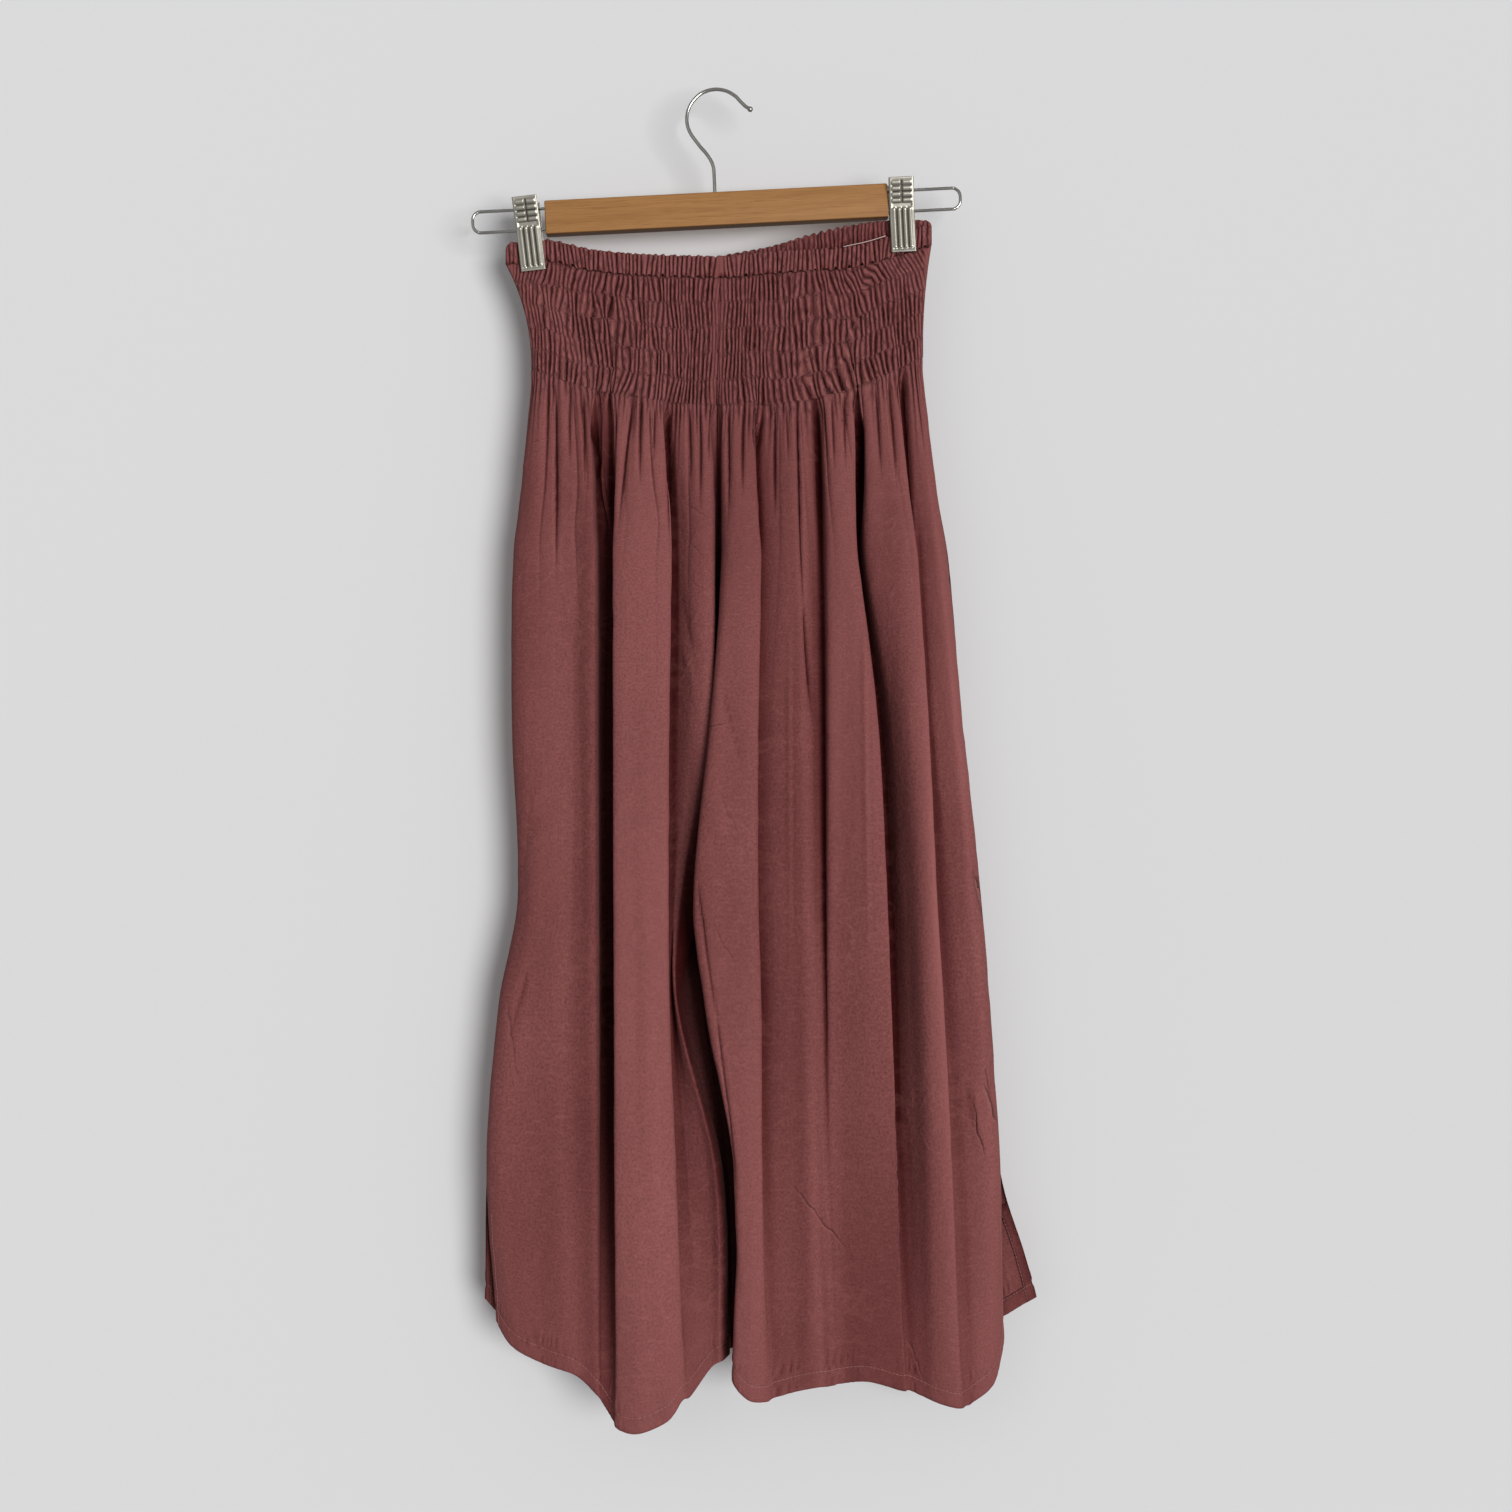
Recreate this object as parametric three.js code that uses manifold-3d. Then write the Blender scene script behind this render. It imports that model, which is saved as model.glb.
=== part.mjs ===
// Harem trousers with a deep shirred waist, hung by the waist from a wooden clip hanger.
// Millimetres, +Z up, the front faces -Y. Left and right are as seen from the front.
// The origin is the underside of the hook's crest, where a rail or a screw carries everything.
//
// The cloth is four panels, each cut in one length from the elastic casing to the hem, and two
// casings. Every panel is a thin wall. It follows a few fold lines that run from the gathers
// down to the hem, and its sections are smooth curves across those lines.
import * as THREE from "three";
import Module from "manifold-3d";

const wasm = await Module();
wasm.setup();

// ---------------------------------------------------------------- driving sizes
const WALL = 1.2; // thickness of the cloth wall
const SEAM = 0.3; // gap between pieces that are sewn or pressed together
const FOLD_STEPS = 3; // points between two neighbouring fold lines
const TRIAL_STEPS = 8; // trial points between them, where a section's length is measured
const LEG_ROWS = 10; // sections below the gathers

const CASING_HEIGHT = 16; // elastic casing along the waist
const BANDS = 5; // shirred bands between the rows of elastic thread
const WAVES = 24; // gathers across one panel
const CASING_WAVES = 40; // and along one casing
const WAVE_ON_ELASTIC = 0.8; // how far a gather stands out on a row of elastic
const WAVE_BETWEEN = 2.4; // and half way between two rows
const FLAT_AT_SEAM = 0.05; // share of a panel's width that the seam allowance keeps flat
const DRAW_IN = 2.2; // how quickly the waist narrows below the casing, 1 is a straight taper
const FADE = { at: [0, 0.014, 0.04, 0.075], wave: [0.8, 2.2, 1.8, 0.8] }; // the gathers below the elastic
const SEAM_TURN = 24; // how widely the cloth turns through the valley of the centre seam
const SEAM_NEAR = 6; // cloth nearer to the centre seam than this keeps clear of it
const LEGS_PART = 0.03; // share of the height over which one tube turns into two
const PINCH = 1.6; // depth of the front or back where the clips press it
const MOUTH_FRONT = 12; // how far the front sags open between the clips
const MOUTH_BACK = 5;
const CLIP_CLEAR = 130; // the mouth opens between these distances from the middle

const TILT = THREE.MathUtils.degToRad(2.9); // the hanger hangs with its right end up
const BAR = { length: 274, height: 27, depth: 12, edge: 2.5, z: -95.4 };
const HOOK = { wire: 1.5, bow: 23.7, tip: 2.3 };
const LOOP = { wire: 1.3, half: 8.4, reach: 59.5, corner: 5 };
const CLIP = { left: 151, right: 147.8, width: 20, above: 16, below: 42, sheet: 1, spread: 7, lean: 0.068 };
const FLUTE = { count: 4, pitch: 4.6, width: 2.4, high: 0.6, margin: 2.5 };
const GRIP = { rows: 4, pitch: 5.2, first: 5, column: 4.8, length: 7.6, width: 2.2, high: 0.7 };
const SPRING = { outer: 4.5, inner: 2.1, length: 16 };

// ---------------------------------------------------------------- fold tables
// Heights that the tables give a place for: the gathers, then down to the hem.
const HEIGHTS = { gathers: -250, hip: -376, thigh: -504, crotch: -648, knee: -728, calf: -856, hem: -1050 };
const LEVELS = Object.values(HEIGHTS);
const KNOTS = LEVELS.map((z) => (z - LEVELS[0]) / (LEVELS.at(-1) - LEVELS[0]));
const CROTCH = KNOTS[3];

// The waist's upper edge. The front sags between the clips, and the back is drawn up on the right.
const WAIST_EDGE = {
  x: [-170, -136, -100, -60, -20, 10, 45, 75, 105, 137, 173],
  front: [-123, -120, -128, -133, -135.5, -136, -132, -129, -126, -118, -107],
  back: [-123, -121, -133, -139.5, -137, -130, -123.5, -115, -108.5, -104, -104],
};
// The last row of elastic, where the gathers start.
const GATHER_EDGE = {
  x: [-148, -100, -50, 0, 50, 100, 130, 165],
  z: [-224, -240, -249, -253, -252, -243, -231, -214],
};
const WAIST_SIDE = { left: -168.5, right: 172, middle: 3 };
// The centre seams of front and back, and half the gap between the legs that they part into.
const CENTRE = [1, 1, -1, -8, -8, 11.5, 15];
const PARTING = [0, 0, 0, 0, 7, 5.5, 5];

// One row for each fold line, from the left to the right of its panel: its x and its y at each
// height above, and how low it ends at the hem.
const FRONT_LEFT = {
  "side seam": [[-148, -163, -164, -160, -174, -184, -176], [0, 0, 0, 0, 0, 0, 0], -982],
  "side roll": [[-138, -146, -147, -144, -154, -165, -154], [-8, -14, -16, -17, -18, -19, -18], -1005],
  "pinch": [[-129, -126, -129, -130, -137, -145, -133], [-7, -12, -17, -19, -20, -21, -21], -1012],
  "outer ridge": [[-115, -112, -116, -121, -125, -131, -114], [-10, -22, -25, -26, -27, -27, -26], -1020],
  "deep valley": [[-92, -91, -90, -89, -90, -90, -88], [-7, -8, -8, -8, -8, -9, -12], -1048],
  "pleat, left edge": [[-82, -77, -75, -75, -75, -73, -70], [-10, -30, -36, -38, -38, -38, -41], -1061],
  "pleat, right edge": [[-46, -41, -42, -42, -41, -38, -41], [-10, -30, -36, -37, -36, -31, -33], -1053],
  "inner valley": [[-32, -32, -33, -31, -30, -19, -19], [-7, -12, -12, -13, -16, -21, -22], -1031],
  "inner roll": [[-15, -15, -17, -24, -21, -2, 3], [-10, -20, -19, -17, -18, -19, -19], -1010],
  "centre and inseam": [CENTRE, [-8, -9, -5, -1.6, 0, 0, 0], -1009],
};
const FRONT_RIGHT = {
  "centre and inseam": [CENTRE, [-8, -9, -5, -1.6, 0, 0, 0], -1012],
  "inner roll": [[9, 8, 2, -18, -8, 14, 12], [-10, -27, -30, -32, -31, -30, -31], -1030],
  "pleat edge": [[28, 29, 29, 29, 30, 32, 36], [-10, -29, -32, -34, -34, -33, -33], -1039],
  "flat": [[44, 41, 41, 42, 44, 46, 58], [-6.0, -18, -20, -21, -22, -23, -24], -1036],
  "middle valley": [[64, 69, 79, 82, 83, 82, 86], [-7, -11, -11, -11, -12, -14, -17], -1032],
  "middle ridge": [[94, 96, 101, 104, 105, 106, 112], [-10, -24, -26, -27, -27, -26, -25], -1027],
  "outer valley": [[115, 119, 131, 137, 142, 146, 144], [-7, -8, -9, -10, -12, -15, -17], -1033],
  "outer ridge": [[134, 149, 159, 169, 172, 176, 178], [-10, -28, -33, -36, -37, -37, -37], -1040],
  "side valley": [[154, 163, 172, 177, 181, 185, 194], [-7, -10, -12, -14, -16, -19, -23], -1046],
  "side roll": [[161, 177, 184, 197, 202, 212, 216], [-8, -13, -15, -15, -15, -16, -15], -1030],
  "side seam": [[165, 186, 197, 212, 218, 227, 230], [0, 0, 0, 0, 0, 0, 0], -996],
};
const BACK_LEFT = {
  "side seam": [[-148, -163, -164, -160, -174, -184, -186], [0, 0, 0, 0, 0, 0, 3], -967],
  "side roll": [[-136, -146, -147, -144, -154, -166, -168], [8, 13, 15, 15, 15, 15, 14], -990],
  "outer valley": [[-118, -122, -123, -123, -128, -136, -136], [6, 8, 8, 8, 8, 9, 10], -1004],
  "outer ridge": [[-99, -101, -103, -103, -105, -110, -112], [9, 22, 26, 28, 30, 32, 33], -1012],
  "middle valley": [[-80, -84, -85, -85, -86, -86, -86], [6, 8, 8, 9, 10, 12, 14], -1018],
  "inner ridge": [[-56, -57, -56, -56, -54, -50, -48], [9, 30, 35, 37, 37, 36, 35], -1026],
  "inner valley": [[-32, -34, -34, -36, -30, -20, -16], [6, 9, 9, 10, 11, 12, 13], -1018],
  "inner roll": [[-13, -13, -14, -16, -3, 16, 20], [9, 20, 22, 22, 24, 25, 24], -1010],
  "centre and inseam": [CENTRE, [6, 8, 5, 1.6, 0, 0, 0], -1006],
};
const BACK_RIGHT = {
  "centre and inseam": [CENTRE, [6, 8, 5, 1.6, 0, 0, 0], -1008],
  "inner roll": [[14, 16, 14, 6, 12, 27, 30], [9, 19, 20, 18, 18, 18, 18], -1012],
  "inner valley": [[32, 34, 34, 32, 34, 44, 48], [6, 8, 8, 9, 9, 10, 12], -1020],
  "inner ridge": [[52, 53, 54, 54, 57, 64, 68], [9, 22, 25, 25, 25, 25, 25], -1024],
  "middle valley": [[71, 73, 75, 76, 79, 84, 88], [6, 8, 9, 10, 11, 12, 14], -1022],
  "outer ridge": [[96, 102, 106, 109, 112, 118, 122], [9, 30, 36, 38, 38, 37, 36], -1028],
  "outer valley": [[122, 130, 136, 142, 145, 150, 154], [6, 8, 8, 9, 9, 10, 12], -1018],
  "side ridge": [[142, 154, 163, 172, 176, 181, 186], [9, 22, 25, 26, 26, 26, 24], -1006],
  "flare": [[157, 176, 184, 197, 202, 213, 228], [8, 12, 13, 13, 13, 13, 9], -984],
  "side seam": [[165, 186, 197, 212, 218, 227, 258], [0, 0, 0, 0, 0, 0, 5], -966],
};

// The fold lines of a table. The inseam moves off to the side of its leg, -1 or 1.
function foldsOf(table, leg) {
  return Object.entries(table).map(([line, [x, y, hem]]) => ({
    x, y, hem, leg: line === "centre and inseam" ? leg : 0,
  }));
}

// ---------------------------------------------------------------- smooth curves
// The value at t of a smooth curve through the values at the knots.
function through(knots, values, t) {
  const last = knots.length - 1;
  let i = 0;
  while (i < last - 1 && t > knots[i + 1]) i += 1;
  const slope = (k) => {
    const a = Math.max(k - 1, 0);
    const b = Math.min(k + 1, last);
    return (values[b] - values[a]) / (knots[b] - knots[a]);
  };
  const span = knots[i + 1] - knots[i];
  const u = THREE.MathUtils.clamp((t - knots[i]) / span, 0, 1);
  const [u2, u3] = [u * u, u * u * u];
  return (
    (2 * u3 - 3 * u2 + 1) * values[i] +
    (u3 - 2 * u2 + u) * span * slope(i) +
    (3 * u2 - 2 * u3) * values[i + 1] +
    (u3 - u2) * span * slope(i + 1)
  );
}

// Where a fold line is at t, from 0 at the gathers to 1 at the hem.
function placeOf(fold, t) {
  const top = through(GATHER_EDGE.x, GATHER_EDGE.z, fold.x[0]);
  const z = [top, ...LEVELS.slice(1, -1), fold.hem];
  const parted = fold.leg * Math.max(0, through(KNOTS, PARTING, t));
  const x = through(KNOTS, fold.x, t) + parted;
  return new THREE.Vector3(x, through(KNOTS, fold.y, t), through(KNOTS, z, t));
}

const inY = (p) => new THREE.Vector3(p.x, -p.y, p.z);

// A panel's section at t: points across its fold lines and the way the cloth runs at each.
// They stand at even steps from fold line to fold line, or evenly along the cloth.
// Past its edge the curve runs straight through the valley of the centre seam above the crotch,
// and turns round to the panel behind it at the inseam and the side seam.
function section(panel, t, count, evenly = false) {
  const points = panel.folds.map((fold) => placeOf(fold, t));
  const legs = THREE.MathUtils.smoothstep(t, CROTCH - LEGS_PART, CROTCH + LEGS_PART);
  const [first, last] = [points[1], points.at(-2)];
  const across = (p, way) => new THREE.Vector3(p.x + way * SEAM_TURN, p.y, p.z).lerp(inY(p), legs);
  const before = panel.right ? across(first, -1) : inY(first);
  const after = panel.right ? inY(last) : across(last, 1);
  const all = [before, ...points, after];
  const spans = points.length - 1;
  const placed = (s) => {
    const i = Math.min(Math.floor(s), spans - 1);
    const u = s - i;
    const [a, b, c, d] = all.slice(i, i + 4);
    const at = (w) => new THREE.Vector3()
      .addScaledVector(a, w[0]).addScaledVector(b, w[1]).addScaledVector(c, w[2]).addScaledVector(d, w[3])
      .multiplyScalar(0.5);
    const [u2, u3] = [u * u, u ** 3];
    const p = at([-u + 2 * u2 - u3, 2 - 5 * u2 + 3 * u3, u + 4 * u2 - 3 * u3, u3 - u2]);
    const way = at([-1 + 4 * u - 3 * u2, -10 * u + 9 * u2, 1 + 8 * u - 9 * u2, 3 * u2 - 2 * u]);
    way.z = 0;
    return { p, way: way.normalize() };
  };
  const steps = Array.from({ length: count }, (_, k) => k / (count - 1));
  if (!evenly) return steps.map((share) => placed(share * spans));
  const trial = Array.from({ length: TRIAL_STEPS * spans + 1 }, (_, k) => placed(k / TRIAL_STEPS).p);
  const lengths = [0];
  trial.slice(1).forEach((p, k) => lengths.push(lengths[k] + p.distanceTo(trial[k])));
  return steps.map((share) => {
    const length = share * lengths.at(-1);
    const k = Math.min(lengths.findLastIndex((l) => l <= length), trial.length - 2);
    return placed((k + (length - lengths[k]) / (lengths[k + 1] - lengths[k])) / TRIAL_STEPS);
  });
}

// ---------------------------------------------------------------- cloth walls
// A point moved out of the cloth by `by`, or into it if that is less than 0.
function movedOut(point, by, facing) {
  return point.p.clone().add(new THREE.Vector3(-point.way.y, point.way.x, 0).multiplyScalar(facing * by));
}

// Fronts stay in front of the side seams, and backs behind them, half a seam's gap away.
function keepSide(p, facing) {
  const y = facing < 0 ? Math.min(p.y, -SEAM / 2) : Math.max(p.y, SEAM / 2);
  return new THREE.Vector3(p.x, y, p.z);
}

// A closed wall from rows of points. Rows may have different numbers of points.
function wall(rows) {
  const vertices = [];
  const faces = [];
  const number = (points) => points.map((p) => vertices.push(p.x, p.y, p.z) / 3 - 1);
  const pointAt = (i) => new THREE.Vector3().fromArray(vertices, 3 * i);
  const apart = (i, j) => pointAt(i).distanceTo(pointAt(j));
  const numbered = rows.map((row) => ({ outer: number(row.outer), inner: number(row.inner) }));
  const zip = (a, b) => {
    let [i, j] = [0, 0];
    while (i < a.length - 1 || j < b.length - 1) {
      const nearer = a.length === b.length ? i <= j : apart(a[i + 1], b[j]) <= apart(a[i], b[j + 1]);
      const stepA = j === b.length - 1 || (i < a.length - 1 && nearer);
      faces.push(stepA ? [a[i], a[i + 1], b[j]] : [a[i], b[j + 1], b[j]]);
      if (stepA) i += 1;
      else j += 1;
    }
  };
  numbered.slice(1).forEach((row, k) => {
    const above = numbered[k];
    zip(above.outer, row.outer);
    zip(row.inner, above.inner);
    zip([above.inner[0], above.outer[0]], [row.inner[0], row.outer[0]]);
    zip([above.outer.at(-1), above.inner.at(-1)], [row.outer.at(-1), row.inner.at(-1)]);
  });
  zip(numbered[0].inner, numbered[0].outer);
  zip(numbered.at(-1).outer, numbered.at(-1).inner);
  return closed(vertices, faces.flat());
}

// A geometry with its faces pointing outwards, whichever way they were listed.
function closed(vertices, faces) {
  const at = (i) => new THREE.Vector3().fromArray(vertices, 3 * i);
  let volume = 0;
  for (let i = 0; i < faces.length; i += 3) {
    volume += at(faces[i]).dot(at(faces[i + 1]).cross(at(faces[i + 2])));
  }
  const geometry = new THREE.BufferGeometry();
  geometry.setAttribute("position", new THREE.Float32BufferAttribute(vertices, 3));
  geometry.setIndex(volume > 0 ? faces : faces.reverse());
  return geometry;
}

// How far a gather stands out at a point k of a row, before its height is taken into account.
function gather(k, count, level) {
  const share = k / (count - 1);
  const flat = Math.min(1, Math.min(share, 1 - share) / FLAT_AT_SEAM);
  const uneven = 0.85 + 0.15 * Math.sin(2.3 * k + 1.7 * level);
  return (k % 2) * flat * uneven;
}

// How far the waist stands open at x, as a share.
function mouth(x) {
  const off = Math.min(1, Math.abs(x - WAIST_SIDE.middle) / CLIP_CLEAR);
  return Math.cos((Math.PI / 2) * off) ** 2;
}

// The waist's wall at x, `drop` below its upper edge.
function waistPoint(x, drop, facing) {
  const edge = facing < 0 ? WAIST_EDGE.front : WAIST_EDGE.back;
  const open = (facing < 0 ? MOUTH_FRONT : MOUTH_BACK) * mouth(x);
  const round = Math.min(1, Math.min(x - WAIST_SIDE.left, WAIST_SIDE.right - x) / (2 * PINCH));
  const y = facing * (PINCH * Math.sqrt(Math.max(0, round * (2 - round))) + open);
  const p = new THREE.Vector3(x, y, through(WAIST_EDGE.x, edge, x) - drop);
  return { p, way: new THREE.Vector3(1, 0, 0) };
}

// Where a point of the gather line comes from on the casing's seam, straight up the cloth's grain.
function waistAbove(p, panel) {
  const side = panel.right ? WAIST_SIDE.right : WAIST_SIDE.left;
  const seam = panel.right ? panel.folds.at(-1).x[0] : panel.folds[0].x[0];
  const middle = panel.folds[panel.right ? 0 : panel.folds.length - 1].x[0];
  const share = (p.x - middle) / (seam - middle);
  return waistPoint(THREE.MathUtils.lerp(WAIST_SIDE.middle, side, share), CASING_HEIGHT + SEAM, panel.facing);
}

function panelWall(panel) {
  const { facing } = panel;
  const side = panel.right ? 1 : -1;
  const inset = (p, t) => {
    // Half a seam's gap off the centre seam, which the legs part from below the crotch.
    const edge = placeOf(panel.folds[panel.right ? 0 : panel.folds.length - 1], t);
    const near = Math.max(0, 1 - Math.abs(p.x - edge.x) / SEAM_NEAR) * (t < CROTCH + LEGS_PART ? 1 : 0);
    return p.setX(p.x + side * near * (SEAM / 2));
  };
  const fine = 2 * WAVES + 1;
  const plain = FOLD_STEPS * (panel.folds.length - 1) + 1;
  const finish = (point, by, t) => inset(keepSide(movedOut(point, by, facing), facing), t);
  const rows = [];
  const top = section(panel, 0, fine, true);
  const topPlain = section(panel, 0, panel.folds.length);
  const shirred = (points, f, wave, level) => points.map((point, k) => {
    const from = waistAbove(point.p, panel);
    const narrow = 1 - (1 - f) ** DRAW_IN;
    const p = new THREE.Vector3(
      THREE.MathUtils.lerp(from.p.x, point.p.x, narrow),
      THREE.MathUtils.lerp(from.p.y, point.p.y, f),
      THREE.MathUtils.lerp(from.p.z, point.p.z, f),
    );
    const way = from.way.clone().lerp(point.way, f).normalize();
    return finish({ p, way }, wave * gather(k, points.length, level), 0);
  });
  for (let level = 0; level < 2 * BANDS; level += 1) {
    const wave = level % 2 ? WAVE_BETWEEN : WAVE_ON_ELASTIC;
    const lining = shirred(level ? topPlain : top, level / (2 * BANDS), 0, level);
    rows.push({
      outer: shirred(top, level / (2 * BANDS), wave, level),
      inner: lining.map((p) => keepSide(p.setY(p.y - facing * WALL), facing)),
    });
  }
  // The gathers die away below the last row of elastic.
  FADE.at.forEach((t, level) => {
    const wave = FADE.wave[level];
    rows.push({
      outer: section(panel, t, fine, true).map((point, k) => finish(point, wave * gather(k, fine, 0), t)),
      inner: section(panel, t, plain).map((point) => finish(point, -WALL, t)),
    });
  });
  for (let row = 1; row <= LEG_ROWS; row += 1) {
    const t = THREE.MathUtils.lerp(FADE.at.at(-1), 1, row / LEG_ROWS);
    const points = section(panel, t, plain);
    rows.push({
      outer: points.map((point) => finish(point, 0, t)),
      inner: points.map((point) => finish(point, -WALL, t)),
    });
  }
  return wall(rows);
}

// The casing: a ruffled band above the panels, puffed between its folded edge and its seam.
function casingWall(facing) {
  const fine = 2 * CASING_WAVES + 1;
  const row = (count, drop, wave) => Array.from({ length: count }, (_, k) => {
    const x = THREE.MathUtils.lerp(WAIST_SIDE.left, WAIST_SIDE.right, k / (count - 1));
    return keepSide(movedOut(waistPoint(x, drop, facing), wave * gather(k, count, 0), facing), facing);
  });
  const inside = (drop, count = CASING_WAVES / 2) => row(count, drop, 0)
    .map((p) => keepSide(p.setY(p.y - facing * WALL), facing));
  const middle = CASING_HEIGHT / 2;
  return wall([
    { outer: row(fine, 0, WAVE_ON_ELASTIC), inner: inside(0) },
    { outer: row(fine, middle, WAVE_BETWEEN), inner: inside(middle) },
    { outer: row(fine, CASING_HEIGHT, WAVE_ON_ELASTIC), inner: inside(CASING_HEIGHT, fine) },
  ]);
}

// ---------------------------------------------------------------- hanger
const steel = { color: 0xc9ccca, roughness: 0.2, metalness: 1 };
const wood = { color: 0xb07d48, roughness: 0.55, metalness: 0 };
const rayon = { color: 0x854b4b, roughness: 0.72, metalness: 0 };

function mesh(name, geometry, look) {
  const made = new THREE.Mesh(geometry, new THREE.MeshStandardMaterial(look));
  made.name = name;
  return made;
}

// A round wire along points in the XZ plane.
function wire(points, radius, steps) {
  const around = new THREE.Shape();
  around.absarc(0, 0, radius, 0, 2 * Math.PI);
  const places = points.map(([x, z]) => new THREE.Vector3(x, 0, z));
  const extrudePath = new THREE.CatmullRomCurve3(places, false, "centripetal");
  return new THREE.ExtrudeGeometry(around, { steps, extrudePath, bevelEnabled: false, curveSegments: 4 });
}

// From the bar up the stem, up the slanted neck and round the bow to the turned-up tip.
function hookPath() {
  const stem = [[-1.2, BAR.z + BAR.height / 2 + 0.4], [-1.7, -70], [-2.6, -60], [-6.5, -52], [-14, -43]];
  const middle = { x: 0, z: HOOK.wire - HOOK.bow };
  const bow = [205, 180, 155, 130, 110, 90, 70, 50, 38].map((angle) => {
    const a = THREE.MathUtils.degToRad(angle);
    return [middle.x + HOOK.bow * Math.cos(a), middle.z + HOOK.bow * Math.sin(a)];
  });
  return [...stem, ...bow, [23.4, -12.2], [27, -14.4]];
}

function loopPath(side) {
  const start = side * (BAR.length / 2 + SEAM);
  const end = side * (BAR.length / 2 + LOOP.reach - LOOP.wire);
  const bend = side * LOOP.corner;
  const upper = [[start, LOOP.half], [(start + end) / 2, LOOP.half], [end - bend, LOOP.half]];
  const corner = [[end - bend * 0.3, LOOP.half - LOOP.corner * 0.3], [end, LOOP.half - LOOP.corner]];
  const half = [...upper, ...corner];
  return [...half, ...half.map(([x, z]) => [x, -z]).reverse()];
}

function solidOf(geometry) {
  const plain = geometry.index ? geometry.toNonIndexed() : geometry;
  const positions = plain.getAttribute("position");
  const keys = new Map();
  const vertices = [];
  const triangles = Array.from({ length: positions.count }, (_, i) => {
    const p = new THREE.Vector3().fromBufferAttribute(positions, i);
    const key = p.toArray().map((v) => Math.round(v * 1e4)).join();
    if (!keys.has(key)) keys.set(key, vertices.push(...p.toArray()) / 3 - 1);
    return keys.get(key);
  });
  return new wasm.Manifold(new wasm.Mesh({
    numProp: 3, vertProperties: new Float32Array(vertices), triVerts: new Uint32Array(triangles),
  }));
}

function geometryOf(solid) {
  const made = solid.getMesh();
  const geometry = new THREE.BufferGeometry();
  geometry.setAttribute("position", new THREE.BufferAttribute(made.vertProperties, 3));
  geometry.setIndex(new THREE.BufferAttribute(made.triVerts, 1));
  return geometry;
}

function box(width, depth, height, x, y, z) {
  return new THREE.BoxGeometry(width, depth, height).translate(x, y, z);
}

// One jaw of a clip: bent sheet steel that spreads at the top and closes on the cloth at the
// bottom, with two columns of short grips above and four long flutes below. Its face is at -Y.
function jaw() {
  const near = SPRING.outer + SEAM; // the inside of the jaw where it lies on the spring and the cloth
  const profile = new THREE.Shape([
    new THREE.Vector2(-near, -CLIP.below),
    new THREE.Vector2(-near - CLIP.sheet, -CLIP.below),
    new THREE.Vector2(-near - CLIP.sheet, -LOOP.half),
    new THREE.Vector2(-near - CLIP.sheet - CLIP.spread, CLIP.above),
    new THREE.Vector2(-near - CLIP.spread, CLIP.above),
    new THREE.Vector2(-near, -LOOP.half),
  ]);
  // The profile is drawn in Y and Z, and the sheet's width runs along X.
  const sheet = new THREE.ExtrudeGeometry(profile, { depth: CLIP.width, bevelEnabled: false });
  sheet.applyMatrix4(new THREE.Matrix4().makeBasis(
    new THREE.Vector3(0, 1, 0), new THREE.Vector3(0, 0, 1), new THREE.Vector3(1, 0, 0),
  )).translate(-CLIP.width / 2, 0, 0);
  let solid = solidOf(sheet);
  const face = -near - CLIP.sheet;
  const ribs = CLIP.below - LOOP.half - 2 * FLUTE.margin;
  for (let flute = 0; flute < FLUTE.count; flute += 1) {
    const x = (flute - (FLUTE.count - 1) / 2) * FLUTE.pitch;
    const rib = box(FLUTE.width, 2 * FLUTE.high, ribs, x, face, -(CLIP.below + LOOP.half) / 2);
    solid = solid.add(solidOf(rib));
  }
  const slope = Math.atan2(CLIP.spread, CLIP.above + LOOP.half);
  for (let row = 0; row < GRIP.rows; row += 1) {
    for (const x of [-GRIP.column, GRIP.column]) {
      const up = GRIP.first + row * GRIP.pitch;
      const grip = box(GRIP.length, 2 * GRIP.high, GRIP.width, x, 0, up).rotateX(slope);
      solid = solid.add(solidOf(grip.translate(0, face, -LOOP.half)));
    }
  }
  return solid;
}

function clip(name, x, turn) {
  const group = new THREE.Group();
  const front = jaw();
  const coil = new THREE.LatheGeometry([
    new THREE.Vector2(SPRING.inner, -SPRING.length / 2), new THREE.Vector2(SPRING.outer, -SPRING.length / 2),
    new THREE.Vector2(SPRING.outer, SPRING.length / 2), new THREE.Vector2(SPRING.inner, SPRING.length / 2),
    new THREE.Vector2(SPRING.inner, -SPRING.length / 2),
  ], 12).rotateZ(Math.PI / 2).translate(0, 0, -LOOP.half);
  const back = mesh(`${name}_back_jaw`, geometryOf(front), steel);
  back.rotation.z = Math.PI;
  group.add(mesh(`${name}_front_jaw`, geometryOf(front), steel), back, mesh(`${name}_spring`, coil, steel));
  group.position.x = x;
  group.rotation.y = -turn;
  return group;
}

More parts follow.
